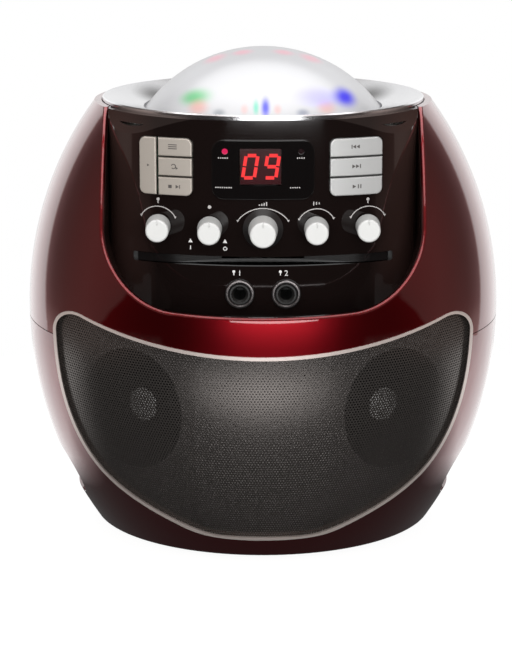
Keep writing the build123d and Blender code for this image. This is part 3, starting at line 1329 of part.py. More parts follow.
def transformer():
    """Laminated core with its winding, on the floor at the back."""
    w, d, h = TRANSFORMER
    y = TRANSFORMER_Y
    core = block(-w / 2, w / 2, y - d / 4, y + d / 4, FLOOR_Z, FLOOR_Z + h)
    limb = w / 2 - CORE_LIMB
    coil = block(-limb, limb, y - d / 2, y + d / 2, FLOOR_Z + CORE_YOKE, FLOOR_Z + h - CORE_YOKE)
    return core + coil


def main_board():
    """Amplifier and power board on the stand's back legs, with its heat sink."""
    y = STAND_BACK_Y + STAND_BAR / 2
    low, high = MAIN_BOARD_Z
    body = block(-MAIN_BOARD_HALF, MAIN_BOARD_HALF, y, y + BOARD_T, low, high)
    front = y + BOARD_T
    sink_top = high - SINK_DROP
    sink_low = sink_top - SINK_H
    body += block(-SINK_HALF, SINK_HALF, front, front + SINK_T, sink_low, sink_top)
    for k in range(FINS):
        x = -SINK_HALF + (2 * SINK_HALF - FIN_T) * k / (FINS - 1)
        body += block(x, x + FIN_T, front + SINK_T - LAP, front + SINK_T + FIN_REACH, sink_low, sink_top)
    for x in CAN_X:
        body += peg(x, low + CAN_RISE, front - LAP, front + CAN_LEN, CAN_R)
    return body


PARTS = {
    "upper_shell": upper_shell,
    "lower_shell": lower_shell,
    "control_panel": control_panel,
    "top_ring": top_ring,
    "dome_lens": dome_lens,
    "dome_base": dome_base,
    "disco_leds": disco_leds,
    "disco_motor": disco_motor,
    "disco_pinion": disco_pinion,
    "lens_rotor": lens_rotor,
    "grille_trim": grille_trim,
    "speaker_grille": speaker_grille,
    "speaker_baffle": speaker_baffle,
    "speaker_frames": lambda: on_both(one_frame),
    "speaker_cones": lambda: on_both(one_cone),
    "speaker_dust_caps": lambda: on_both(one_cap),
    "speaker_magnets": lambda: on_both(one_magnet),
    "display_bezel": display_bezel,
    "display_module": display_module,
    "indicator_lamps": indicator_lamps,
    "control_board": control_board,
    "tact_switches": tact_switches,
    "potentiometers": potentiometers,
    "mic_jacks": mic_jacks,
    "mic_jack_nuts": mic_jack_nuts,
    "disc_tray": disc_tray,
    "tray_gear": tray_gear,
    "motor_pulley": motor_pulley,
    "loading_motor": loading_motor,
    "loading_belt": loading_belt,
    "loader_chassis": loader_chassis,
    "loader_stand": loader_stand,
    "clamp_bridge": clamp_bridge,
    "clamp_disc": clamp_disc,
    "pickup_frame": pickup_frame,
    "guide_rods": guide_rods,
    "pickup_carriage": pickup_carriage,
    "spindle_motor": spindle_motor,
    "turntable": turntable,
    "rear_panel": rear_panel,
    "mains_inlet": mains_inlet,
    "av_jacks": av_jacks,
    "rubber_feet": rubber_feet,
    "case_screws": case_screws,
    "transformer": transformer,
    "main_board": main_board,
}
KNOB_NAMES = ["knob_mic_one", "knob_mode", "knob_volume", "knob_echo", "knob_mic_two"]


def main():
    os.makedirs("parts", exist_ok=True)
    shapes = {name: build() for name, build in PARTS.items()}
    shapes.update({name: knob(x) for name, x in zip(KNOB_NAMES, KNOB_X)})
    shapes.update(keys())
    for name, shape in shapes.items():
        export_step(shape, f"parts/{name}.step")


main()
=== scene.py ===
# %% [markdown]
# # A ball-shaped karaoke player
#
# The real object is a glossy dark red ball with a black control well at the front, a wide perforated
# speaker grille below it and a frosted light dome in a bright ring on top. The construction comes in as
# finished pieces. This lesson gives each of them its finish, and adds what is too fine for a
# construction model: the holes of the grille, the printed marks and the glowing digits.

# %% Load the construction
import math

import bpy
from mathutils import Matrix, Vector


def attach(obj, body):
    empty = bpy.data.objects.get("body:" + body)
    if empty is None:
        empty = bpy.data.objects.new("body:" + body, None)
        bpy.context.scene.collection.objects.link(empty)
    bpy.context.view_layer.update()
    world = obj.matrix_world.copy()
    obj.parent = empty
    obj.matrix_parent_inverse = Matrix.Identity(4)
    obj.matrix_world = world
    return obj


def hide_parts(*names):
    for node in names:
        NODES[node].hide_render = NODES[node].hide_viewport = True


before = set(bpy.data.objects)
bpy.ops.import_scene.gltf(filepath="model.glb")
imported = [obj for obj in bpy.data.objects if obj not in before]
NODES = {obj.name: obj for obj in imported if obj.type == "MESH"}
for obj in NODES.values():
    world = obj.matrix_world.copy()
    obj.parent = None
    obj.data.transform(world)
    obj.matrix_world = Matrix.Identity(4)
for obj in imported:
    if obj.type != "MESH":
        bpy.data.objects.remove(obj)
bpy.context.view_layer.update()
MM = 0.001

# %% [markdown]
# ## The camera
#
# A long lens from a metre and a quarter away keeps the ball round. The camera stands a little above
# the object and looks down, so the ring on top shows as a thin ellipse. The two shifts slide the
# picture in its frame without turning the camera, so upright lines stay as they are.

# %% Place the camera
CAMERA_AT = Vector((0, -1.2367, 0.3904))
CAMERA_AIM_Z = 0.1179
LENS = 128.26             # focal length, in mm
SENSOR = 36               # width of the sensor, in mm
PICTURE_HEIGHT = 650      # in pixels
SLIDE_X, SLIDE_Y = -7, -25          # how far the picture slides in its frame, in pixels

look_down = math.atan2(CAMERA_AT.z - CAMERA_AIM_Z, -CAMERA_AT.y)
bpy.ops.object.camera_add(location=CAMERA_AT, rotation=(math.pi / 2 - look_down, 0, 0))
camera = bpy.context.object
camera.data.lens = LENS
camera.data.sensor_width = SENSOR
camera.data.shift_x = SLIDE_X / PICTURE_HEIGHT
camera.data.shift_y = SLIDE_Y / PICTURE_HEIGHT
bpy.context.scene.camera = camera
bpy.context.scene.view_settings.view_transform = "Standard"
print("the camera looks down by", round(math.degrees(look_down), 1), "degrees")

# %% [markdown]
# ## Nodes and colours
#
# Every finish below is a small tree of nodes. One function turns a colour code into the linear numbers
# that the shader works with, one adds a node with its settings and links, and one starts a material
# whose plain values sit on the shader's own sockets.

# %% Helpers for materials
def linear(code):
    """The shader's four numbers for a colour code such as "#A01020"."""
    parts = [int(code[i:i + 2], 16) / 255 for i in (1, 3, 5)]
    return [p / 12.92 if p <= 0.04045 else ((p + 0.055) / 1.055) ** 2.4 for p in parts] + [1.0]


def add(tree, kind, values=None, links=None, **properties):
    """Add a node to a tree, with its properties, its values by socket and its links by socket."""
    node = tree.nodes.new(kind)
    for name, value in properties.items():
        setattr(node, name, value)
    for socket, value in (values or {}).items():
        node.inputs[socket].default_value = value
    for socket, source in (links or {}).items():
        tree.links.new(source, node.inputs[socket])
    return node


def start_material(name, colour, **values):
    """A material with one Principled shader. Returns the material, its tree and the shader."""
    material = bpy.data.materials.new(name)
    material.use_nodes = True
    tree = material.node_tree
    shader = tree.nodes["Principled BSDF"]
    shader.inputs["Base Color"].default_value = linear(colour)
    for socket, value in values.items():
        shader.inputs[socket.replace("_", " ")].default_value = value
    return material, tree, shader


def finish_with(material, *names):
    """Give CAD nodes a material in place of what they had."""
    for name in names:
        slots = NODES[name].data.materials
        slots.clear()
        slots.append(material)
    print(f"{material.name}: {', '.join(names)}")

# %% [markdown]
# ## The studio
#
# A glossy ball is a mirror, so what it mirrors matters as much as its paint. Product photographers put
# a white wall behind such an object and keep the rest of the room dim: then white bands run down both
# flanks, with a hard edge, and the front keeps its deep colour. Here the wall and the room are drawn on
# the world. A ray that leaves the object has a heading and a height, and limits on these two angles
# draw the edges of the wall and of the room.

# %% Measure a ray's direction
EDGE = 1.5                # softness of an edge in the room, in degrees

world = bpy.data.worlds.new("studio")
world.use_nodes = True
bpy.context.scene.world = world
sky = world.node_tree
sky.nodes.clear()
way = add(sky, "ShaderNodeTexCoord")
xyz = add(sky, "ShaderNodeSeparateXYZ", links={"Vector": way.outputs["Generated"]})
heading = add(sky, "ShaderNodeMath", operation="ARCTAN2",
              links={0: xyz.outputs["X"], 1: xyz.outputs["Y"]})
off_back = add(sky, "ShaderNodeMath", operation="ABSOLUTE", links={0: heading.outputs[0]})
height = add(sky, "ShaderNodeMath", operation="ARCSINE", links={0: xyz.outputs["Z"]})


def limit(source, angle, under, over, edge=EDGE):
    """Output that has one value under a limit on an angle, in degrees, and another value over it."""
    return add(sky, "ShaderNodeMapRange", links={"Value": source.outputs[0]},
               values={"From Min": math.radians(angle - edge), "From Max": math.radians(angle + edge),
                       "To Min": under, "To Max": over}).outputs[0]


print("a ray's heading and height take", len(sky.nodes), "nodes")

# %% White wall behind the object
WALL_HALF_ANGLE = 46      # degrees to each side of straight behind the object
WALL_LEAN = 0.28          # the wall narrows upward by this many degrees for each degree of height
WALL_TOP_ANGLE = 33       # degrees above the horizon
WALL_LIGHT = 1.3          # the wall's sides are lit by lamps of their own
PLAIN_HALF_ANGLE = 18     # the middle of the wall is plain white
PLAIN_EDGE = 6            # and turns bright softly, over this many degrees to either side

leaned = add(sky, "ShaderNodeMath", operation="MULTIPLY_ADD", values={1: WALL_LEAN},
             links={0: height.outputs[0], 2: off_back.outputs[0]})
in_wall = add(sky, "ShaderNodeMath", operation="MULTIPLY",
              links={0: limit(leaned, WALL_HALF_ANGLE, 1.0, 0.0),
                     1: limit(height, WALL_TOP_ANGLE, 1.0, 0.0)})
wall = add(sky, "ShaderNodeMath", operation="MULTIPLY",
           links={0: limit(off_back, PLAIN_HALF_ANGLE, 1.0, WALL_LIGHT, PLAIN_EDGE),
                  1: in_wall.outputs[0]})
print("white wall:", 2 * WALL_HALF_ANGLE, "degrees wide at the horizon")

# %% Dim room at the sides and a dark front
ROOM_BY_WALL = 0.05       # brightness of the room beside the wall
ROOM = 0.34               # and at the object's sides
ROOM_STARTS, ROOM_FULL = 48, 86     # degrees off straight back where it rises from one to the other
DARK_FRONT = 0.01         # brightness behind the camera
DARK_HALF_ANGLE = 69      # the dark front's half width in degrees, at the horizon
DARK_LEAN = 1.67          # it narrows upward by this many degrees for each degree of height
LOW = -10.5               # below this height, in degrees, it has a half width of its own
LOW_DARK_HALF_ANGLE = 49

sides = add(sky, "ShaderNodeMapRange", links={"Value": off_back.outputs[0]},
            values={"From Min": math.radians(ROOM_STARTS), "From Max": math.radians(ROOM_FULL),
                    "To Min": ROOM_BY_WALL, "To Max": ROOM})
front_leaned = add(sky, "ShaderNodeMath", operation="MULTIPLY_ADD", values={1: -DARK_LEAN},
                   links={0: height.outputs[0], 2: off_back.outputs[0]})
upper_room = add(sky, "ShaderNodeMath", operation="MULTIPLY",
                 links={0: sides.outputs[0], 1: limit(front_leaned, 180 - DARK_HALF_ANGLE, 1.0, 0.0)})
room_by_height = add(sky, "ShaderNodeMix",
                     links={"Factor": limit(height, LOW, 1.0, 0.0), "A": upper_room.outputs[0],
                            "B": limit(off_back, 180 - LOW_DARK_HALF_ANGLE, ROOM, 0.0)})
room = add(sky, "ShaderNodeMath", operation="MAXIMUM", values={1: DARK_FRONT},
           links={0: room_by_height.outputs[0]})
mirrored = add(sky, "ShaderNodeMath", operation="MAXIMUM",
               links={0: wall.outputs[0], 1: room.outputs[0]})
print("dark front:", 2 * DARK_HALF_ANGLE, "degrees wide at the horizon")

# %% [markdown]
# What the camera sees past the object is plain white, and so is what shows through the dome. Matt
# surfaces get a soft, even light from all round. Only mirrored rays see the wall and the room, and the
# room's light is a little warm.

# %% Choose by the kind of ray
SOFT_LIGHT = 0.80         # brightness of what lights matt surfaces

rays = add(sky, "ShaderNodeLightPath")
plain = add(sky, "ShaderNodeMath", operation="MAXIMUM",
            links={0: rays.outputs["Is Camera Ray"], 1: rays.outputs["Is Transmission Ray"]})
soft = add(sky, "ShaderNodeMix", values={"A": SOFT_LIGHT},
           links={"Factor": rays.outputs["Is Glossy Ray"], "B": mirrored.outputs[0]})
brightness = add(sky, "ShaderNodeMix", values={"B": 1.0},
                 links={"Factor": plain.outputs[0], "A": soft.outputs[0]})
plain_or_wall = add(sky, "ShaderNodeMath", operation="MAXIMUM",
                    links={0: plain.outputs[0], 1: in_wall.outputs[0]})
not_mirrored = add(sky, "ShaderNodeMath", operation="SUBTRACT", values={0: 1.0},
                   links={1: rays.outputs["Is Glossy Ray"]})
neutral = add(sky, "ShaderNodeMath", operation="MAXIMUM",
              links={0: plain_or_wall.outputs[0], 1: not_mirrored.outputs[0]})
tint = add(sky, "ShaderNodeMix", data_type="RGBA", links={"Factor": neutral.outputs[0]},
           values={"A": linear("#FFE4DA"), "B": linear("#FFFFFF")})
backdrop = add(sky, "ShaderNodeBackground",
               links={"Strength": brightness.outputs[0], "Color": tint.outputs[2]})
add(sky, "ShaderNodeOutputWorld", links={"Surface": backdrop.outputs[0]})
print("the world has", len(sky.nodes), "nodes")

# %% [markdown]
# The table is a plain plane of pale laminate. To the camera it is overexposed, so that only the
# object's shadow stays under white. A mirrored ray sees it bright only behind the object, beyond its
# shadow, and where a white card lies in front. The card lights the grille from below.

# %% Lay the table
TABLE_FRONT, TABLE_BACK, TABLE_HALF = -0.45, 0.35, 0.45     # its edges, in metres from the middle

bpy.ops.mesh.primitive_plane_add(size=1, location=(0, 0, 0))
table = bpy.context.object
table.name = "table"
bpy.ops.object.mode_set(mode="EDIT")
bpy.ops.transform.resize(value=(2 * TABLE_HALF, TABLE_BACK - TABLE_FRONT, 1))
bpy.ops.transform.translate(value=(0, (TABLE_FRONT + TABLE_BACK) / 2, 0))
bpy.ops.object.mode_set(mode="OBJECT")
print("table:", [round(side, 2) for side in table.dimensions], "m")

# %% Where the table is bright
SHADOW_ENDS, BRIGHT_FROM = 0.115, 0.15      # metres from the middle, where the shadow fades out
BACK_STARTS, BACK_FULL = -0.06, 0.03        # y in metres, where the bright part behind the object rises
BACK_LIGHT = 0.72
CARD_AT = (0, -0.335, 0)
CARD_SPREAD = 0.17        # how far the card's brightness reaches, in metres
CARD_SHAPE = (0.8, 1.5, 1.0)        # distances count more from front to back, so the card is wide
CARD_LIGHT, TABLE_LIGHT = 1.9, 0.04

white_table, tree, shader = start_material("pale laminate table", "#787674", Roughness=0.6)
place = add(tree, "ShaderNodeTexCoord")
place_xyz = add(tree, "ShaderNodeSeparateXYZ", links={0: place.outputs["Object"]})
behind = add(tree, "ShaderNodeMapRange", links={"Value": place_xyz.outputs["Y"]},
             values={"From Min": BACK_STARTS, "From Max": BACK_FULL, "To Max": BACK_LIGHT})
from_middle = add(tree, "ShaderNodeVectorMath", operation="LENGTH", links={0: place.outputs["Object"]})
out_of_shadow = add(tree, "ShaderNodeMapRange", links={"Value": from_middle.outputs["Value"]},
                    values={"From Min": SHADOW_ENDS, "From Max": BRIGHT_FROM})
far_back = add(tree, "ShaderNodeMath", operation="MULTIPLY",
               links={0: behind.outputs[0], 1: out_of_shadow.outputs[0]})
off_card = add(tree, "ShaderNodeVectorMath", operation="SUBTRACT", links={0: place.outputs["Object"]},
               values={1: CARD_AT})
card_shape = add(tree, "ShaderNodeVectorMath", operation="MULTIPLY", links={0: off_card.outputs[0]},
                 values={1: CARD_SHAPE})
to_card = add(tree, "ShaderNodeVectorMath", operation="LENGTH", links={0: card_shape.outputs[0]})
card = add(tree, "ShaderNodeMapRange", links={"Value": to_card.outputs["Value"]},
           values={"From Max": CARD_SPREAD, "To Min": CARD_LIGHT, "To Max": TABLE_LIGHT})
lit_parts = add(tree, "ShaderNodeMath", operation="MAXIMUM",
                links={0: far_back.outputs[0], 1: card.outputs[0]})
print("bright parts: the far back and a card at", CARD_AT)

# %% What each kind of ray sees of the table
OVEREXPOSED = 1.9         # the brightness of white on the table
CAMERA_SHARE = 0.5        # for the camera, half laminate with its shadow and half plain white
MIRROR_SHARE = 0.88       # mirrored rays see mostly the bright and dark parts

table_rays = add(tree, "ShaderNodeLightPath")
for_mirrors = add(tree, "ShaderNodeMath", operation="MULTIPLY", values={1: MIRROR_SHARE},
                  links={0: table_rays.outputs["Is Glossy Ray"]})
direct = add(tree, "ShaderNodeMath", operation="MAXIMUM",
             links={0: table_rays.outputs["Is Camera Ray"], 1: table_rays.outputs["Is Transmission Ray"]})
white_parts = add(tree, "ShaderNodeMath", operation="MAXIMUM",
                  links={0: direct.outputs[0], 1: lit_parts.outputs[0]})
strength = add(tree, "ShaderNodeMath", operation="MULTIPLY", values={1: OVEREXPOSED},
               links={0: white_parts.outputs[0]})
glow = add(tree, "ShaderNodeEmission", links={"Strength": strength.outputs[0]})
for_camera = add(tree, "ShaderNodeMath", operation="MULTIPLY", values={1: CAMERA_SHARE},
                 links={0: direct.outputs[0]})
whitened = add(tree, "ShaderNodeMath", operation="MAXIMUM",
               links={0: for_camera.outputs[0], 1: for_mirrors.outputs[0]})
mixed = add(tree, "ShaderNodeMixShader",
            links={0: whitened.outputs[0], 1: shader.outputs[0], 2: glow.outputs[0]})
tree.links.new(mixed.outputs[0], tree.nodes["Material Output"].inputs["Surface"])
table.data.materials.append(white_table)
print(white_table.name, "has", len(tree.nodes), "nodes")

# %% [markdown]
# Two large soft lamps light the front and the top. A third one hangs above and behind the object. It
# gives no plain light: it only draws bright lines along the edges that mirror it, such as the lip of
# the control well.

# %% Hang the lamps
def soft_lamp(name, place, aim, width, height, watts):
    """A rectangular lamp at a place, turned to face a point."""
    bpy.ops.object.light_add(type="AREA", location=place)
    lamp = bpy.context.object
    lamp.name = name
    lamp.rotation_euler = (Vector(aim) - Vector(place)).to_track_quat("-Z", "Y").to_euler()
    lamp.data.shape = "RECTANGLE"
    lamp.data.size = width
    lamp.data.size_y = height
    lamp.data.energy = watts
    print(f"{name}: {width} x {height} m, {watts} W")
    return lamp


soft_lamp("front_lamp", place=(0.12, -1.35, 0.30), aim=(0, 0, 0.13), width=1.0, height=0.5, watts=12)
soft_lamp("top_lamp", place=(0, -0.55, 1.3), aim=(0, 0, 0.15), width=1.2, height=0.8, watts=7)
edge_lamp = soft_lamp("back_lamp", place=(0, 0.30, 1.1), aim=(0, 0, 0.2), width=1.3, height=0.7, watts=8)
edge_lamp.visible_diffuse = False
edge_lamp.visible_transmission = False

# %% [markdown]
# ## The red shells
#
# The shells are moulded ABS, sprayed in a candy finish: a silver-red metallic base under a clear gloss
# lacquer. The base is broad and deep in colour, and the lacquer mirrors the studio sharply and grows
# white at the flanks. So the base gets metallic flakes as a faint bump of its own, and the coat stays
# smooth.

# %% Candy lacquer
FLAKE = 0.5 * MM          # real flakes are finer; this is the finest that can show
FLAKE_DEPTH = 0.02 * MM

candy, tree, shader = start_material(
    "candy red lacquer on ABS", "#6C0D14", Metallic=1.0, Roughness=0.32,
    Coat_Weight=1.0, Coat_Roughness=0.02, Coat_IOR=1.5)
place = add(tree, "ShaderNodeTexCoord")
flakes = add(tree, "ShaderNodeTexVoronoi", links={"Vector": place.outputs["Object"]},
             values={"Scale": 1 / FLAKE})
flake_bump = add(tree, "ShaderNodeBump", values={"Strength": 0.08, "Distance": FLAKE_DEPTH},
                 links={"Height": flakes.outputs["Color"]})
tree.links.new(flake_bump.outputs[0], shader.inputs["Normal"])
finish_with(candy, "upper_shell", "lower_shell")

# %% [markdown]
# ## The black panel and its plate
#
# The panel is gloss black ABS straight from a polished mould, and the plate round the digits is smoked
# acrylic. Both are almost colourless: what shows is what they mirror, softened by the mould's slight
# waviness. The panel's two ends stand nearer to the red lip of the well and pick up some of its light.
# That light is painted: the black's colour grows a little paler and warmer towards both ends.

# %% Gloss black plastic
WAVE = 14 * MM            # the slow waviness of a moulded gloss face
WAVE_DEPTH = 0.05 * MM


def bumpy(tree, shader, grain, detail, strength, depth):
    """Give a shader a bump of noise, by the size and depth of its grains in metres."""
    place = add(tree, "ShaderNodeTexCoord")
    noise = add(tree, "ShaderNodeTexNoise", links={"Vector": place.outputs["Object"]},
                values={"Scale": 1 / grain, "Detail": detail})
    bump = add(tree, "ShaderNodeBump", values={"Strength": strength, "Distance": depth},
               links={"Height": noise.outputs["Fac"]})
    tree.links.new(bump.outputs[0], shader.inputs["Normal"])


def gloss_black(name, colour, roughness):
    """Polished moulded plastic with a slow, shallow waviness."""
    material, tree, shader = start_material(name, colour, Roughness=roughness, IOR=1.5)
    bumpy(tree, shader, grain=WAVE, detail=1.0, strength=0.25, depth=WAVE_DEPTH)
    return material


finish_with(gloss_black("smoked acrylic plate", "#0C0A0A", roughness=0.03), "display_bezel")
finish_with(gloss_black("smoked display face", "#300C10", roughness=0.10), "display_module")
finish_with(gloss_black("satin black tray", "#100E0E", roughness=0.20), "disc_tray")

# %% Painted light on the panel's ends
PAINTED_LIGHT_FROM, PAINTED_LIGHT_TO = 54 * MM, 78 * MM     # distances to either side of the middle
PANEL_BLACK, PANEL_PAINTED_LIGHT = "#120C0B", "#30211E"


def position(tree):
    """Outputs X, Y and Z that say where on the object a point of the surface lies."""
    place = add(tree, "ShaderNodeTexCoord")
    return add(tree, "ShaderNodeSeparateXYZ", links={0: place.outputs["Object"]}).outputs


def colour_by(material, factor, first, second, socket="Base Color"):
    """Let a node's output lead one of the shader's colours from a first colour to a second."""
    tree = material.node_tree
    mix = add(tree, "ShaderNodeMix", data_type="RGBA", links={"Factor": factor},
              values={"A": linear(first), "B": linear(second)})
    tree.links.new(mix.outputs[2], tree.nodes["Principled BSDF"].inputs[socket])


panel_black = gloss_black("gloss black ABS", PANEL_BLACK, roughness=0.06)
tree = panel_black.node_tree
# Painted light: the base colour goes from the black to a paler, warmer one towards both ends.
off_middle = add(tree, "ShaderNodeMath", operation="ABSOLUTE", links={0: position(tree)["X"]})
painted_light_share = add(tree, "ShaderNodeMapRange", links={"Value": off_middle.outputs[0]},
                 values={"From Min": PAINTED_LIGHT_FROM, "From Max": PAINTED_LIGHT_TO})
colour_by(panel_black, painted_light_share.outputs[0], PANEL_BLACK, PANEL_PAINTED_LIGHT)
finish_with(panel_black, "control_panel")

# %% [markdown]
# ## Silver finishes
#
# The ring is satin plated, the knobs and keys are sprayed with pale silver paints, and the trim round
# the grille has a champagne paint. Metal keeps the shader's own IOR. A fine noise in the roughness
# breaks up the highlights as a real satin surface does.

# %% Silver paint
SPREAD = 0.08             # how much the roughness varies to either side
KNOB_SILVER = "#C2C2C0"
KNOBS = ["knob_mic_one", "knob_mode", "knob_echo", "knob_mic_two"]
LEFT_KEYS = ["key_program_play", "key_source", "key_repeat", "key_stop"]
RIGHT_KEYS = ["key_back", "key_forward", "key_play_pause"]


def satin(name, colour, metallic, roughness, grain):
    """Satin metal or metallic paint, with a fine grain in its roughness."""
    material, tree, shader = start_material(name, colour, Metallic=metallic)
    place = add(tree, "ShaderNodeTexCoord")
    noise = add(tree, "ShaderNodeTexNoise", links={"Vector": place.outputs["Object"]},
                values={"Scale": 1 / grain, "Detail": 3.0})
    varied = add(tree, "ShaderNodeMapRange", links={"Value": noise.outputs["Fac"]},
                 values={"To Min": roughness - SPREAD, "To Max": roughness + SPREAD})
    tree.links.new(varied.outputs[0], shader.inputs["Roughness"])
    return material


knob_paint = satin("bright knob paint", KNOB_SILVER, metallic=0.1, roughness=0.40, grain=0.5 * MM)
finish_with(knob_paint, *KNOBS)
warm_paint = satin("warm silver key paint", "#ABA39A", metallic=0.35, roughness=0.42, grain=0.4 * MM)
finish_with(warm_paint, *LEFT_KEYS)
cool_paint = satin("cool silver key paint", "#B5B5B4", metallic=0.35, roughness=0.40, grain=0.4 * MM)
finish_with(cool_paint, *RIGHT_KEYS)
trim_paint = satin("champagne trim paint", "#CCC0BA", metallic=0.55, roughness=0.36, grain=0.5 * MM)
finish_with(trim_paint, "grille_trim")

# %% Dark skirt of the volume knob
SKIRT_FRONT = -90.1 * MM  # behind this y the volume knob flares out into a dark skirt
SKIRT_BLACK = "#1C1A1A"

two_tone = satin("bright knob paint over a dark skirt", KNOB_SILVER, metallic=0.1, roughness=0.40,
                 grain=0.5 * MM)
tree = two_tone.node_tree
on_skirt = add(tree, "ShaderNodeMath", operation="GREATER_THAN", values={1: SKIRT_FRONT},
               links={0: position(tree)["Y"]})
colour_by(two_tone, on_skirt.outputs[0], KNOB_SILVER, SKIRT_BLACK)
finish_with(two_tone, "knob_volume")

# %% [markdown]
# The ring shows the dome's foot as a dark streak on either side, because the dome's steep edge hides
# the bright room from it. Here the dome is too milky to mirror in that way, so a soft dark patch in the
# plating stands for it. It is placed by distances from the middle, so it lies alike on all sides.

# %% Plating
SILVER, STREAK = "#DADADC", "#3E3C3C"
DOME_SIDE = (59 * MM, 32 * MM, 228 * MM)      # where the streak is darkest
STREAK_REACH = 16 * MM
STREAK_SHAPE = (1.0, 0.6, 1.0)                # drawn out from front to back

plating = satin("satin silver plating", SILVER, metallic=1.0, roughness=0.20, grain=0.6 * MM)
tree = plating.node_tree
place = add(tree, "ShaderNodeTexCoord")
either_side = add(tree, "ShaderNodeVectorMath", operation="ABSOLUTE", links={0: place.outputs["Object"]})
off_streak = add(tree, "ShaderNodeVectorMath", operation="SUBTRACT", links={0: either_side.outputs[0]},
                 values={1: DOME_SIDE})
drawn_out = add(tree, "ShaderNodeVectorMath", operation="MULTIPLY", links={0: off_streak.outputs[0]},
                values={1: STREAK_SHAPE})
to_streak = add(tree, "ShaderNodeVectorMath", operation="LENGTH", links={0: drawn_out.outputs[0]})
lightness = add(tree, "ShaderNodeMapRange", interpolation_type="SMOOTHSTEP",
                links={"Value": to_streak.outputs["Value"]}, values={"From Max": STREAK_REACH})
colour_by(plating, lightness.outputs[0], STREAK, SILVER)
finish_with(plating, "top_ring")

# %% Dark plating and plain steel
dark_plating = satin("dark plated ring nut", "#6A6666", metallic=0.9, roughness=0.30, grain=0.4 * MM)
finish_with(dark_plating, "mic_jack_nuts")
steel = satin("plated steel", "#A9A9AD", metallic=1.0, roughness=0.32, grain=0.8 * MM)
finish_with(steel, "loader_stand", "pickup_frame", "guide_rods", "case_screws", "loading_motor",
            "spindle_motor", "disco_motor", "speaker_magnets", "transformer")

# %% [markdown]
# ## The light dome
#
# The dome is acrylic with a frosted inside, and a faceted lens turns under it over coloured lamps. The
# frosting makes it milky: most of the light stays in its wall, and only a part passes through. The
# lamps throw soft coloured spots on it. Real lamps in a milky dome render with much noise, so the spots
# are painted light in the dome's colour, along with grey patches of painted shade at its sides and
# front. A faint glow of these colours stands in for the lamps' light from inside.

# %% Frosted acrylic
# Each painted patch of lamp light or shade: where it falls in mm, how far it spreads in mm, its colour,
# its strength and how much wider than high it is.
PAINTED_LIGHT_AND_SHADE_PATCHES = [
    ((-52.4, -1.9, 236.1), 26, "#B8B8BA", 0.55, 1.0),
    ((53.2, -1.9, 236.1), 26, "#B8B8BA", 0.55, 1.0),
    ((-35.5, -40.5, 234.7), 7.0, "#48C070", 0.80, 2.4),
    ((-33.6, -47.5, 230.4), 6.5, "#F0A090", 0.55, 1.4),
    ((-22.6, -55.5, 228.4), 3.5, "#9098A0", 0.70, 1.6),
    ((-3.6, -57.3, 231.4), 6.0, "#50D8B8", 0.75, 0.40),
    ((1.3, -57.4, 231.4), 8.0, "#3C40F0", 0.90, 0.45),
    ((7.5, -57.2, 230.4), 4.0, "#F0A8A0", 0.50, 0.8),
    ((-9.5, -57.0, 230.4), 4.0, "#F0A8A0", 0.40, 0.8),
    ((20.5, -56.2, 228.5), 3.5, "#8088A0", 0.70, 1.6),
    ((32.8, -47.9, 230.5), 6.0, "#F0A090", 0.50, 1.4),
    ((28.4, -44.6, 235.2), 8.0, "#A8A0FF", 0.60, 2.6),
    ((42.8, -34.3, 233.9), 8.5, "#3024E8", 0.95, 1.4),
    ((-25.5, -9.6, 251.5), 6.0, "#F09CB0", 0.60, 1.8),
    ((-11.0, -11.2, 254.8), 4.5, "#F09CB0", 0.60, 2.0),
    ((11.0, -11.2, 254.8), 4.5, "#F09CB0", 0.60, 2.0),
    ((25.5, -9.6, 251.5), 6.0, "#F09CB0", 0.60, 1.8),
]
MILK, RIM = "#E0E0E2", "#A0A0A4"    # the dome's colour, and its darker one where it is seen edge on
DEEP = 0.5                # from front to back the patches are drawn out to twice their height
# painted glow: the dome's colours, painted spots and shade included, shine faintly as light
PAINTED_GLOW = 0.04

dome, tree, shader = start_material("frosted acrylic dome", MILK, Roughness=0.28, IOR=1.49,
                                    Transmission_Weight=0.20)
place = add(tree, "ShaderNodeTexCoord")
facing = add(tree, "ShaderNodeLayerWeight", values={"Blend": 0.25})
tinted = add(tree, "ShaderNodeMix", data_type="RGBA", links={"Factor": facing.outputs["Facing"]},
             values={"A": linear(MILK), "B": linear(RIM)})
for spot, spread, colour, strength, wide in PAINTED_LIGHT_AND_SHADE_PATCHES:
    offset = add(tree, "ShaderNodeVectorMath", operation="SUBTRACT",
                 links={0: place.outputs["Object"]}, values={1: [c * MM for c in spot]})
    shaped = add(tree, "ShaderNodeVectorMath", operation="MULTIPLY",
                 links={0: offset.outputs[0]}, values={1: (1 / wide, DEEP, 1.0)})
    distance = add(tree, "ShaderNodeVectorMath", operation="LENGTH", links={0: shaped.outputs[0]})
    falloff = add(tree, "ShaderNodeMapRange", interpolation_type="SMOOTHERSTEP",
                  links={"Value": distance.outputs["Value"]},
                  values={"From Max": spread * MM, "To Min": strength, "To Max": 0.0})
    tinted = add(tree, "ShaderNodeMix", data_type="RGBA",
                 links={"Factor": falloff.outputs[0], "A": tinted.outputs[2]},
                 values={"B": linear(colour)})
# The painted light and shade go into both the base colour and the faint glow.
for socket in ("Base Color", "Emission Color"):
    tree.links.new(tinted.outputs[2], shader.inputs[socket])
shader.inputs["Emission Strength"].default_value = PAINTED_GLOW
finish_with(dome, "dome_lens")

faceted = start_material("faceted milky lens", "#F4F6F8", Roughness=0.25, IOR=1.49,
                         Transmission_Weight=0.4)[0]
finish_with(faceted, "lens_rotor")

# %% [markdown]
# ## Plain materials inside
#
# What is inside is seen only through the grille, through the openings at the back or when the tray is
# out. It is moulded plastic, rubber, paper and board, each with its colour and a fine texture that spark
# erosion leaves in a mould. The three jacks at the back are yellow, white and red, as on most players.

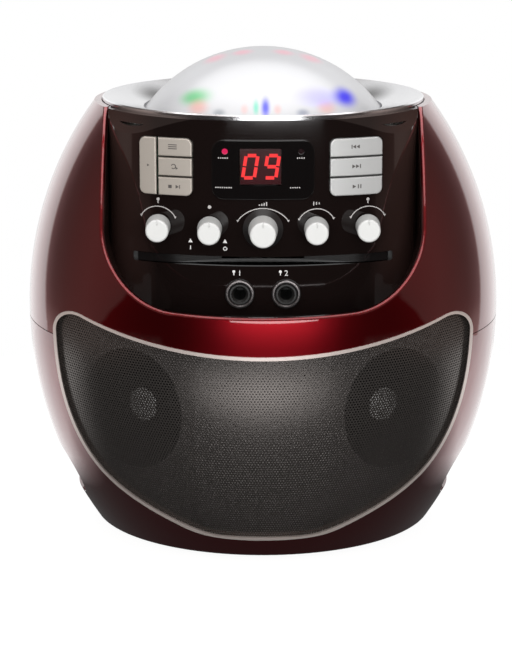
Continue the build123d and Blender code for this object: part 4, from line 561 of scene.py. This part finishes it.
# %% Moulded plastic, rubber, paper and board
GRAIN = 0.8 * MM
GRAIN_DEPTH = 0.05 * MM


def moulded(name, colour, roughness=0.5, grain=GRAIN, strength=0.15):
    """Moulded plastic or rubber with a fine spark-eroded texture."""
    material, tree, shader = start_material(name, colour, Roughness=roughness)
    bumpy(tree, shader, grain=grain, detail=2.0, strength=strength, depth=GRAIN_DEPTH)
    return material


finish_with(moulded("grey moulded baffle", "#8C8684"), "speaker_baffle")
finish_with(moulded("black moulded ABS", "#151413"), "loader_chassis", "clamp_bridge", "rear_panel",
            "mains_inlet", "tact_switches", "potentiometers", "mic_jacks", "pickup_carriage")
finish_with(moulded("white acetal", "#E4E2DC", roughness=0.35), "dome_base", "tray_gear", "motor_pulley",
            "disco_pinion", "clamp_disc", "turntable")
cone_paper = moulded("pressed speaker paper", "#100F0F", roughness=0.85, grain=0.6 * MM, strength=0.4)
finish_with(cone_paper, "speaker_cones")
finish_with(moulded("black painted basket", "#0E0D0D", roughness=0.6), "speaker_frames")
finish_with(moulded("pale dust cap", "#C8C6C4", roughness=0.25), "speaker_dust_caps")
finish_with(moulded("green board laminate", "#12502A", roughness=0.4), "control_board", "main_board")
finish_with(moulded("black rubber", "#100F0F", roughness=0.8), "rubber_feet", "loading_belt")
finish_with(moulded("lamp lens", "#C03070", roughness=0.2), "disco_leds")

# %% Yellow, white and red jacks
# They stand in a row, so each third of it has one colour.
jack_trio, tree, shader = start_material("yellow, white and red jack plastic", "#C0C0BC", Roughness=0.35)
across = position(tree)["X"]
jack_x = [vertex.co.x for vertex in NODES["av_jacks"].data.vertices]
third = (max(jack_x) - min(jack_x)) / 3
past_first = add(tree, "ShaderNodeMath", operation="GREATER_THAN", values={1: min(jack_x) + third},
                 links={0: across})
past_second = add(tree, "ShaderNodeMath", operation="GREATER_THAN", values={1: max(jack_x) - third},
                  links={0: across})
yellow_white = add(tree, "ShaderNodeMix", data_type="RGBA", links={"Factor": past_first.outputs[0]},
                   values={"A": linear("#D8B020"), "B": linear("#D8D6D0")})
all_three = add(tree, "ShaderNodeMix", data_type="RGBA",
                links={"Factor": past_second.outputs[0], "A": yellow_white.outputs[2]},
                values={"B": linear("#B02020")})
tree.links.new(all_three.outputs[2], shader.inputs["Base Color"])
finish_with(jack_trio, "av_jacks")

# %% Indicator lamps
lamp_pair, tree, shader = start_material("lamp lens, lit on the left", "#180A0C", Roughness=0.06)
on_left = add(tree, "ShaderNodeMath", operation="LESS_THAN", values={1: 0.0},
              links={0: position(tree)["X"]})
colour_by(lamp_pair, on_left.outputs[0], "#060405", "#D82058", socket="Emission Color")
shader.inputs["Emission Strength"].default_value = 1.0
finish_with(lamp_pair, "indicator_lamps")

# %% [markdown]
# ## The perforated grille
#
# The grille is one sheet of steel with thousands of small holes in a staggered pattern, curved to the
# ball. It could be a plain sheet with a dotted picture on it, but then nothing behind it would show
# through. So it is made as the real one is: a flat sheet is punched, bent and pressed to the ball.
# A flat grid of triangles gives the pattern, because a bevel of every corner opens a hole there.

# %% Helpers that select, trim and finish
def select_only(obj):
    """Make one object the only selected and active one."""
    bpy.ops.object.select_all(action="DESELECT")
    obj.select_set(True)
    bpy.context.view_layer.objects.active = obj


def delete_vertices(obj, unwanted):
    """Delete the vertices for which a test on their position is true."""
    select_only(obj)
    bpy.ops.object.mode_set(mode="EDIT")
    bpy.ops.mesh.select_all(action="DESELECT")
    bpy.ops.object.mode_set(mode="OBJECT")
    for vertex in obj.data.vertices:
        vertex.select = unwanted(vertex.co)
    bpy.ops.object.mode_set(mode="EDIT")
    bpy.ops.mesh.delete(type="VERT")
    bpy.ops.object.mode_set(mode="OBJECT")


def apply_modifier(obj, kind, **settings):
    """Add a modifier, set it and apply it."""
    select_only(obj)
    modifier = obj.modifiers.new(kind.lower(), kind)
    for name, value in settings.items():
        setattr(modifier, name, value)
    bpy.ops.object.modifier_apply(modifier=modifier.name)


def outward(obj):
    """Turn all normals away from the ball's middle."""
    if sum(face.normal.dot(face.center) for face in obj.data.polygons) < 0:
        select_only(obj)
        bpy.ops.object.mode_set(mode="EDIT")
        bpy.ops.mesh.select_all(action="SELECT")
        bpy.ops.mesh.flip_normals()
        bpy.ops.object.mode_set(mode="OBJECT")

# %% [markdown]
# The form that the sheet is pressed on is the ball itself, a little smaller. Its profile has two arcs,
# one below the ball's widest line and one above it. They are drawn as circles, cut to their heights and
# screwed half round the middle.

# %% The form that the sheet is pressed on
BELLY_R, BELLY_Z = 127, 118         # radius and height of the ball's widest line, in mm
LOWER_ARC, UPPER_ARC = 207, 186     # radii of the two arcs
SHEET_INSET = 1.25        # the sheet's face lies this far inside the ball's skin
FORM_LOW, FORM_HIGH = 5, 150
OVERLAP = 0.5             # how far each arc runs past the widest line
ARC_POINTS, FORM_STEPS = 720, 160


def ball_profile(radius, low, high):
    """One arc of the ball's profile, drawn in the plane of x and z."""
    bpy.ops.mesh.primitive_circle_add(vertices=ARC_POINTS, radius=(radius - SHEET_INSET) * MM)
    profile = bpy.context.object
    bpy.ops.object.mode_set(mode="EDIT")
    bpy.ops.transform.rotate(value=math.pi / 2, orient_axis="X", center_override=(0, 0, 0))
    bpy.ops.transform.translate(value=((BELLY_R - radius) * MM, 0, BELLY_Z * MM))
    bpy.ops.object.mode_set(mode="OBJECT")
    delete_vertices(profile, lambda point: point.x < 0 or not low * MM <= point.z <= high * MM)
    return profile


form = ball_profile(LOWER_ARC, FORM_LOW, BELLY_Z + OVERLAP)
upper = ball_profile(UPPER_ARC, BELLY_Z - OVERLAP, FORM_HIGH)
form.select_set(True)
bpy.context.view_layer.objects.active = form
upper.select_set(True)
bpy.ops.object.join()
apply_modifier(form, "SCREW", angle=math.pi, steps=FORM_STEPS, render_steps=FORM_STEPS)
form.rotation_euler.z = math.pi
bpy.ops.object.transform_apply(location=False, rotation=True, scale=False)
reach = min(vertex.co.y for vertex in form.data.vertices) / MM
print("pressing form:", len(form.data.polygons), "faces, reaching y =", round(reach, 2), "mm")

# %% [markdown]
# The holes stand in rows, and each row is shifted by half a hole spacing. Three neighbouring holes then
# form an even triangle, so the rows are closer together than the holes in a row, by half the square
# root of three.

# %% Lay out the holes
PITCH = 1.55              # hole spacing, in mm
SHEET_HALF, SHEET_LOW, SHEET_HIGH = 132, 9, 139     # half its width and its two edges, in mm

columns = round(2 * SHEET_HALF / PITCH)
row_count = round((SHEET_HIGH - SHEET_LOW) / (PITCH * math.sqrt(3) / 2))
bpy.ops.mesh.primitive_grid_add(x_subdivisions=columns, y_subdivisions=row_count, size=1)
sheet = bpy.context.object
sheet.name = "perforated_grille"
bpy.ops.object.mode_set(mode="EDIT")
bpy.ops.transform.resize(value=(2 * SHEET_HALF * MM, (SHEET_HIGH - SHEET_LOW) * MM, 1))
bpy.ops.object.mode_set(mode="OBJECT")
levels = sorted({round(vertex.co.y, 6) for vertex in sheet.data.vertices})
odd_levels = set(levels[1::2])
for vertex in sheet.data.vertices:
    vertex.select = round(vertex.co.y, 6) in odd_levels
for edge in sheet.data.edges:
    edge.select = all(sheet.data.vertices[i].select for i in edge.vertices)
for face in sheet.data.polygons:
    face.select = False
bpy.ops.object.mode_set(mode="EDIT")
bpy.ops.transform.translate(value=(PITCH / 2 * MM, 0, 0))
bpy.ops.mesh.select_all(action="SELECT")
bpy.ops.mesh.quads_convert_to_tris(quad_method="SHORTEST_DIAGONAL")
bpy.ops.object.mode_set(mode="OBJECT")
print(columns, "x", row_count, "squares, every second row shifted by", PITCH / 2, "mm")

# %% Punch them and stand the sheet up
HOLE = 0.56               # hole radius, in mm

bpy.ops.object.material_slot_add()        # one slot for the sheet
bpy.ops.object.material_slot_add()        # and one that marks the holes
bpy.ops.object.mode_set(mode="EDIT")
bpy.ops.mesh.select_all(action="SELECT")
bpy.ops.mesh.bevel(offset=HOLE * MM, offset_type="OFFSET", affect="VERTICES", segments=1, material=1)
bpy.ops.mesh.select_all(action="DESELECT")
sheet.active_material_index = 1
bpy.ops.object.material_slot_select()
bpy.ops.mesh.delete(type="FACE")
bpy.ops.mesh.select_all(action="SELECT")
bpy.ops.transform.rotate(value=-math.pi / 2, orient_axis="X", center_override=(0, 0, 0))
bpy.ops.transform.translate(value=(0, 0, (SHEET_LOW + SHEET_HIGH) / 2 * MM))
bpy.ops.object.mode_set(mode="OBJECT")
print(len(sheet.data.polygons), "bridges between the holes")

# %% Roll it, press it and trim it
ROLL_R = 118              # the sheet is first rolled to this radius, in mm
UNDER_TRIM = 0.9          # how far the sheet reaches under the trim, in mm

width = max(v.co.x for v in sheet.data.vertices) - min(v.co.x for v in sheet.data.vertices)
apply_modifier(sheet, "SIMPLE_DEFORM", deform_method="BEND", deform_axis="Z", angle=width / (ROLL_R * MM))
bpy.ops.object.mode_set(mode="EDIT")
bpy.ops.mesh.select_all(action="SELECT")
bpy.ops.transform.translate(value=(0, -ROLL_R * MM, 0))
bpy.ops.object.mode_set(mode="OBJECT")
outward(sheet)
print("rolled: y", round(min(v.co.y for v in sheet.data.vertices) / MM, 1), "to",
      round(max(v.co.y for v in sheet.data.vertices) / MM, 1))
apply_modifier(sheet, "SHRINKWRAP", target=form, wrap_method="PROJECT",
               use_negative_direction=True, use_positive_direction=True)
select_only(form)
bpy.ops.object.delete()


def beyond_grille(point):
    """True where a point lies outside the grille's outline by more than the hidden edge."""
    _, nearest, _, _ = NODES["speaker_grille"].closest_point_on_mesh(point)
    return (nearest - point).length > UNDER_TRIM * MM


delete_vertices(sheet, beyond_grille)
print("trimmed:", len(sheet.data.polygons), "bridges")

# %% [markdown]
# The sheet is cut in two halves at the middle, so that neither grows too heavy, and each gets the
# sheet's thickness inward.

# %% Halve the sheet and give it thickness
SHEET_T = 0.5             # in mm

dark_mesh = satin("dark satin mesh", "#6A6562", metallic=0.9, roughness=0.26, grain=0.4 * MM)
bpy.ops.object.select_all(action="DESELECT")
for face in sheet.data.polygons:
    face.select = face.center.x < 0
select_only(sheet)
bpy.ops.object.mode_set(mode="EDIT")
bpy.ops.mesh.select_mode(type="FACE")
bpy.ops.mesh.separate(type="SELECTED")
bpy.ops.mesh.select_mode(type="VERT")
bpy.ops.object.mode_set(mode="OBJECT")
grille_halves = list(bpy.context.selected_objects)
for half in grille_halves:
    side = "right" if half is sheet else "left"
    half.name = half.data.name = f"perforated_grille_{side}"
    half.data.materials.clear()
    outward(half)
    apply_modifier(half, "SOLIDIFY", thickness=SHEET_T * MM, offset=-1)
    half.data.materials.append(dark_mesh)
    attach(half, "housing")
    print(half.name, len(half.data.polygons), "faces")
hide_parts("speaker_grille")
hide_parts("speaker_grille")

# %% [markdown]
# ## Printed marks
#
# The marks on the panel and keys are thin prints. Each group is drawn flat in front of the object from
# bars, discs, triangles and numbers, then laid on the surface behind it and given a print's thickness.
# The marks are plain symbols: dial arcs, numbers beside the sockets, and the usual signs on the keys.

# %% Helpers that draw flat marks
INK_T = 0.04              # thickness of a print, in mm
IN_FRONT = -200           # the marks are drawn on this plane, y in mm
UPRIGHT = math.pi / 2
JOINED = 1.08             # the bars of an arc are longer than their share, so that they join
MISSED = -180             # a print that still reaches this y has missed its surface


def new_print(name):
    """Start an empty flat piece."""
    bpy.ops.mesh.primitive_plane_add(size=MM)
    piece = bpy.context.object
    piece.name = piece.data.name = name
    bpy.ops.object.mode_set(mode="EDIT")
    bpy.ops.mesh.delete(type="VERT")
    return piece


def bar(x, z, length, width, turn=0.0):
    """A straight bar centred at x and z, in mm, turned from level by degrees."""
    middle = (x * MM, IN_FRONT * MM, z * MM)
    bpy.ops.mesh.primitive_plane_add(size=MM, location=middle, rotation=(UPRIGHT, 0, 0))
    bpy.ops.transform.resize(value=(length, 1, width), center_override=middle)
    bpy.ops.transform.rotate(value=math.radians(turn), orient_axis="Y", center_override=middle)


def disc(x, z, r, corners=16, turn=0.0):
    """A filled round mark, or a triangle where it has three corners."""
    bpy.ops.mesh.primitive_circle_add(vertices=corners, radius=r * MM, fill_type="NGON",
                                      location=(x * MM, IN_FRONT * MM, z * MM),
                                      rotation=(UPRIGHT, -math.radians(turn), 0))


def arc(x, z, r, width, start, end, steps=14):
    """A dial arc of short overlapping bars."""
    step = (end - start) / steps
    length = JOINED * 2 * r * math.sin(math.radians(abs(step)) / 2)
    for k in range(steps):
        angle = start + (k + 0.5) * step
        bar(x + r * math.cos(math.radians(angle)), z + r * math.sin(math.radians(angle)),
            length, width, angle + 90)


def lay_on(piece, target, ink, body="housing", proud=0.02):
    """Lay a flat print on the surface behind it and give it a thickness."""
    bpy.ops.object.mode_set(mode="OBJECT")
    apply_modifier(piece, "SHRINKWRAP", target=NODES[target], wrap_method="PROJECT",
                   wrap_mode="ABOVE_SURFACE", use_project_y=True, use_positive_direction=True,
                   offset=proud * MM)
    apply_modifier(piece, "SOLIDIFY", thickness=INK_T * MM, offset=1)
    piece.data.materials.clear()
    piece.data.materials.append(ink)
    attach(piece, body)
    missed = sum(vertex.co.y < MISSED * MM for vertex in piece.data.vertices)
    print(piece.name, len(piece.data.vertices), "vertices,", missed, "missed the surface")

# %% [markdown]
# Screen-printed ink is matt and very slightly uneven. The panel has a grey white ink and a brighter
# one, and the silver keys have a dark one.

# %% Mix the inks
INK_GRAIN = 0.3 * MM
INK_DEPTH = 0.01 * MM


def printed(name, colour):
    """Screen-printed ink with a slightly uneven surface."""
    material, tree, shader = start_material(name, colour, Roughness=0.5)
    bumpy(tree, shader, grain=INK_GRAIN, detail=2.0, strength=0.1, depth=INK_DEPTH)
    return material


white_ink = printed("grey white ink", "#A8A4A2")
bright_ink = printed("white ink", "#D8D6D4")
dark_ink = printed("dark grey ink", "#4A4644")
print("inks:", white_ink.name, "/", bright_ink.name, "/", dark_ink.name)

# %% Dial arcs on the panel
MIC_X, MODE_X, VOLUME_X, ECHO_X = 53.3, -27.0, 0.0, 27.0      # places of the knobs, x in mm
ARC_WIDTH = 0.45
TIP_GAP = 3               # degrees from an arc's end to the triangle there
TIP_R = 0.8


def dial_arc(x, top, r, half_angle):
    """An arc over a knob, with a small triangle at each end."""
    middle = top - r
    arc(x, middle, r, ARC_WIDTH, 90 - half_angle, 90 + half_angle)
    for side in (-1, 1):
        tip = math.radians(90 + side * (half_angle + TIP_GAP))
        disc(x + r * math.cos(tip), middle + r * math.sin(tip), TIP_R, 3, side * 60)


SMALL_DIAL = {"top": 183.7, "r": 10.0, "half_angle": 58}
WIDE_DIAL = {"top": 184.3, "r": 16.0, "half_angle": 50}

dial_marks = new_print("dial_marks")
dial_arc(-MIC_X, **SMALL_DIAL)
dial_arc(VOLUME_X, **WIDE_DIAL)
dial_arc(ECHO_X, **SMALL_DIAL)
dial_arc(MIC_X, **SMALL_DIAL)
print("four arcs, from x =", -MIC_X, "to", MIC_X)

# %% Signs over the knobs
SIGN_Z = 186.0            # height of the signs over the knobs, in mm


def microphone_sign(x, head_z, head_r, handle_z):
    """A round head on a short handle."""
    disc(x, head_z, head_r)
    bar(x, handle_z, 0.5, 1.6)


for x in (-MIC_X, MIC_X):
    microphone_sign(x, head_z=SIGN_Z + 1.4, head_r=0.8, handle_z=SIGN_Z + 0.1)
for k in range(4):        # four bars that grow, for the volume
    bar(VOLUME_X - 1.8 + 1.2 * k, SIGN_Z + 0.2 * k, 0.6, 0.7 + 0.4 * k)
for k in range(3):        # three bars that shrink, for the echo
    bar(ECHO_X - 1.4 + 1.4 * k, SIGN_Z + 0.4, 0.5, 2.0 - 0.5 * k)
disc(MODE_X, SIGN_Z - 1.4, 0.9)
lay_on(dial_marks, "control_panel", white_ink)

# %% Signs of the mode switch
ONE_X, ZERO_X = -36.8, -19.2        # to either side of the knob
ARROW_R = 1.3
FIGURE_Z = 163.4

switch_marks = new_print("switch_marks")
disc(ONE_X, 166.7, ARROW_R, 3)
disc(ZERO_X, 167.0, ARROW_R, 3)
bar(ONE_X, FIGURE_Z, 0.45, 2.0)
arc(ZERO_X, FIGURE_Z, 0.85, 0.4, 0, 360, 12)
lay_on(switch_marks, "control_panel", bright_ink)

# %% Numbers beside the sockets
SOCKET_X = 11.8
NUMBER_Z, NUMBER_SIZE = 149.6, 4.0
SIGN_LEFT = 3.0           # the microphone sign stands this far to the left of its number


def number(text, x, z, size, name):
    """A small printed number, centred at x and standing on z."""
    bpy.ops.object.text_add(location=(x * MM, IN_FRONT * MM, z * MM), rotation=(UPRIGHT, 0, 0))
    piece = bpy.context.object
    piece.data.body = text
    piece.data.align_x = "CENTER"
    piece.data.size = size * MM
    bpy.ops.object.convert(target="MESH")
    bpy.ops.object.transform_apply(location=True, rotation=True, scale=True)
    piece.name = piece.data.name = name
    return piece


for text, x in (("1", -SOCKET_X), ("2", SOCKET_X)):
    figure = number(text, x, NUMBER_Z, NUMBER_SIZE, f"socket_number_{text}")
    lay_on(figure, "control_panel", bright_ink)
    socket_sign = new_print(f"socket_sign_{text}")
    microphone_sign(x - SIGN_LEFT, head_z=NUMBER_Z + 2.1, head_r=0.75, handle_z=NUMBER_Z + 1.0)
    lay_on(socket_sign, "control_panel", bright_ink)

# %% Signs on the keys
TOP_ROW, MIDDLE_ROW, LOW_ROW = 214.9, 204.9, 194.6      # heights of the signs, in mm
THIN = 0.45               # width of a thin line


def triangle(x, z, r, left=False):
    """A triangle that points to the right or to the left."""
    disc(x, z, r, 3, 90 if left else -90)


# Each sign is drawn to the right from its first mark, in mm.
def small_play(x, z):
    triangle(x, z, 0.8)


def list_lines(x, z):
    for rise in (0, -1, 1):
        bar(x, z + rise, 4.4, THIN)


def repeat_loop(x, z):
    arc(x, z, 1.1, THIN, -140, 160, 12)
    triangle(x + 1.6, z - 0.9, 0.8)


def stop_and_skip(x, z):
    bar(x, z, 1.7, 1.7)
    triangle(x + 3.4, z, 1.1)
    bar(x + 4.9, z, THIN, 1.8)


def skip_back(x, z):
    bar(x, z, 0.5, 2.0)
    triangle(x + 1.5, z, 1.15, left=True)
    triangle(x + 3.4, z, 1.15, left=True)


def skip_forward(x, z):
    triangle(x, z, 1.15)
    triangle(x + 1.9, z, 1.15)
    bar(x + 3.6, z, 0.5, 2.0)


def play_pause(x, z):
    triangle(x, z, 1.2)
    bar(x + 2.3, z, 0.55, 2.1)
    bar(x + 3.6, z, 0.55, 2.1)


KEY_SIGNS = {
    "key_program_play": (small_play, -58.3, MIDDLE_ROW),
    "key_source": (list_lines, -45.6, TOP_ROW),
    "key_repeat": (repeat_loop, -45.2, MIDDLE_ROW),
    "key_stop": (stop_and_skip, -47.0, LOW_ROW),
    "key_back": (skip_back, 44.8, TOP_ROW),
    "key_forward": (skip_forward, 45.6, MIDDLE_ROW),
    "key_play_pause": (play_pause, 45.9, LOW_ROW),
}
for key, (draw, x, z) in KEY_SIGNS.items():
    sign = new_print(f"sign_on_{key}")
    draw(x, z)
    lay_on(sign, key, dark_ink, body=key)

# %% [markdown]
# ## The digits
#
# Two slanted digits of seven bars each glow red in the window of the smoked plate. Rows of fine dots
# stand in the four corners of the plate, as legends too small to read.

# %% Light the digits
DIGIT_W, DIGIT_H = 5.9, 11.3        # in mm, between the middles of the outer bars
STROKE, SLANT = 1.75, 9.0           # width of a bar in mm, and the slant in degrees
LEVEL_CUT, UPRIGHT_CUT = 0.9, 0.35  # how much shorter the bars are, in strokes, so that they part
LEVEL_BARS = {"a": 1, "g": 0, "d": -1}
UPRIGHT_BARS = {"b": (1, 1), "c": (1, -1), "e": (-1, -1), "f": (-1, 1)}
LIT_BARS = {"0": "abcdef", "9": "abcdfg"}
DIGITS_Z = 205.4

glowing_red, tree, shader = start_material("glowing red segment", "#400406", Roughness=0.6)
shader.inputs["Emission Color"].default_value = linear("#EE1014")
shader.inputs["Emission Strength"].default_value = 1.1


def digit(character, x, z):
    """A seven-bar digit, slanted to the right."""
    lean = math.tan(math.radians(SLANT))
    quarter = DIGIT_H / 4
    for name in LIT_BARS[character]:
        if name in LEVEL_BARS:
            up = 2 * quarter * LEVEL_BARS[name]
            bar(x + up * lean, z + up, DIGIT_W - STROKE * LEVEL_CUT, STROKE)
        else:
            side, half = UPRIGHT_BARS[name]
            up = quarter * half
            bar(x + side * DIGIT_W / 2 + up * lean, z + up,
                2 * quarter - STROKE * UPRIGHT_CUT, STROKE, 90 - SLANT)


digits = new_print("glowing_digits")
digit("0", -6.4, DIGITS_Z)
digit("9", 4.4, DIGITS_Z)
lay_on(digits, "display_module", glowing_red, proud=0.05)

# %% Rows of dots on the plate
DOT_R, DOT_STEP = 0.38, 1.1
# Each row: the x of its middle, its z and its length.
DOT_ROWS = [(-20.4, 209.9, 5.0), (18.8, 209.9, 4.0), (-20.0, 194.9, 8.5), (16.4, 194.9, 6.0)]

plate_marks = new_print("plate_marks")
for x, z, length in DOT_ROWS:
    for k in range(round(length / DOT_STEP)):
        disc(x - length / 2 + DOT_STEP * (k + 0.5), z, DOT_R, 8)
lay_on(plate_marks, "display_bezel", white_ink)
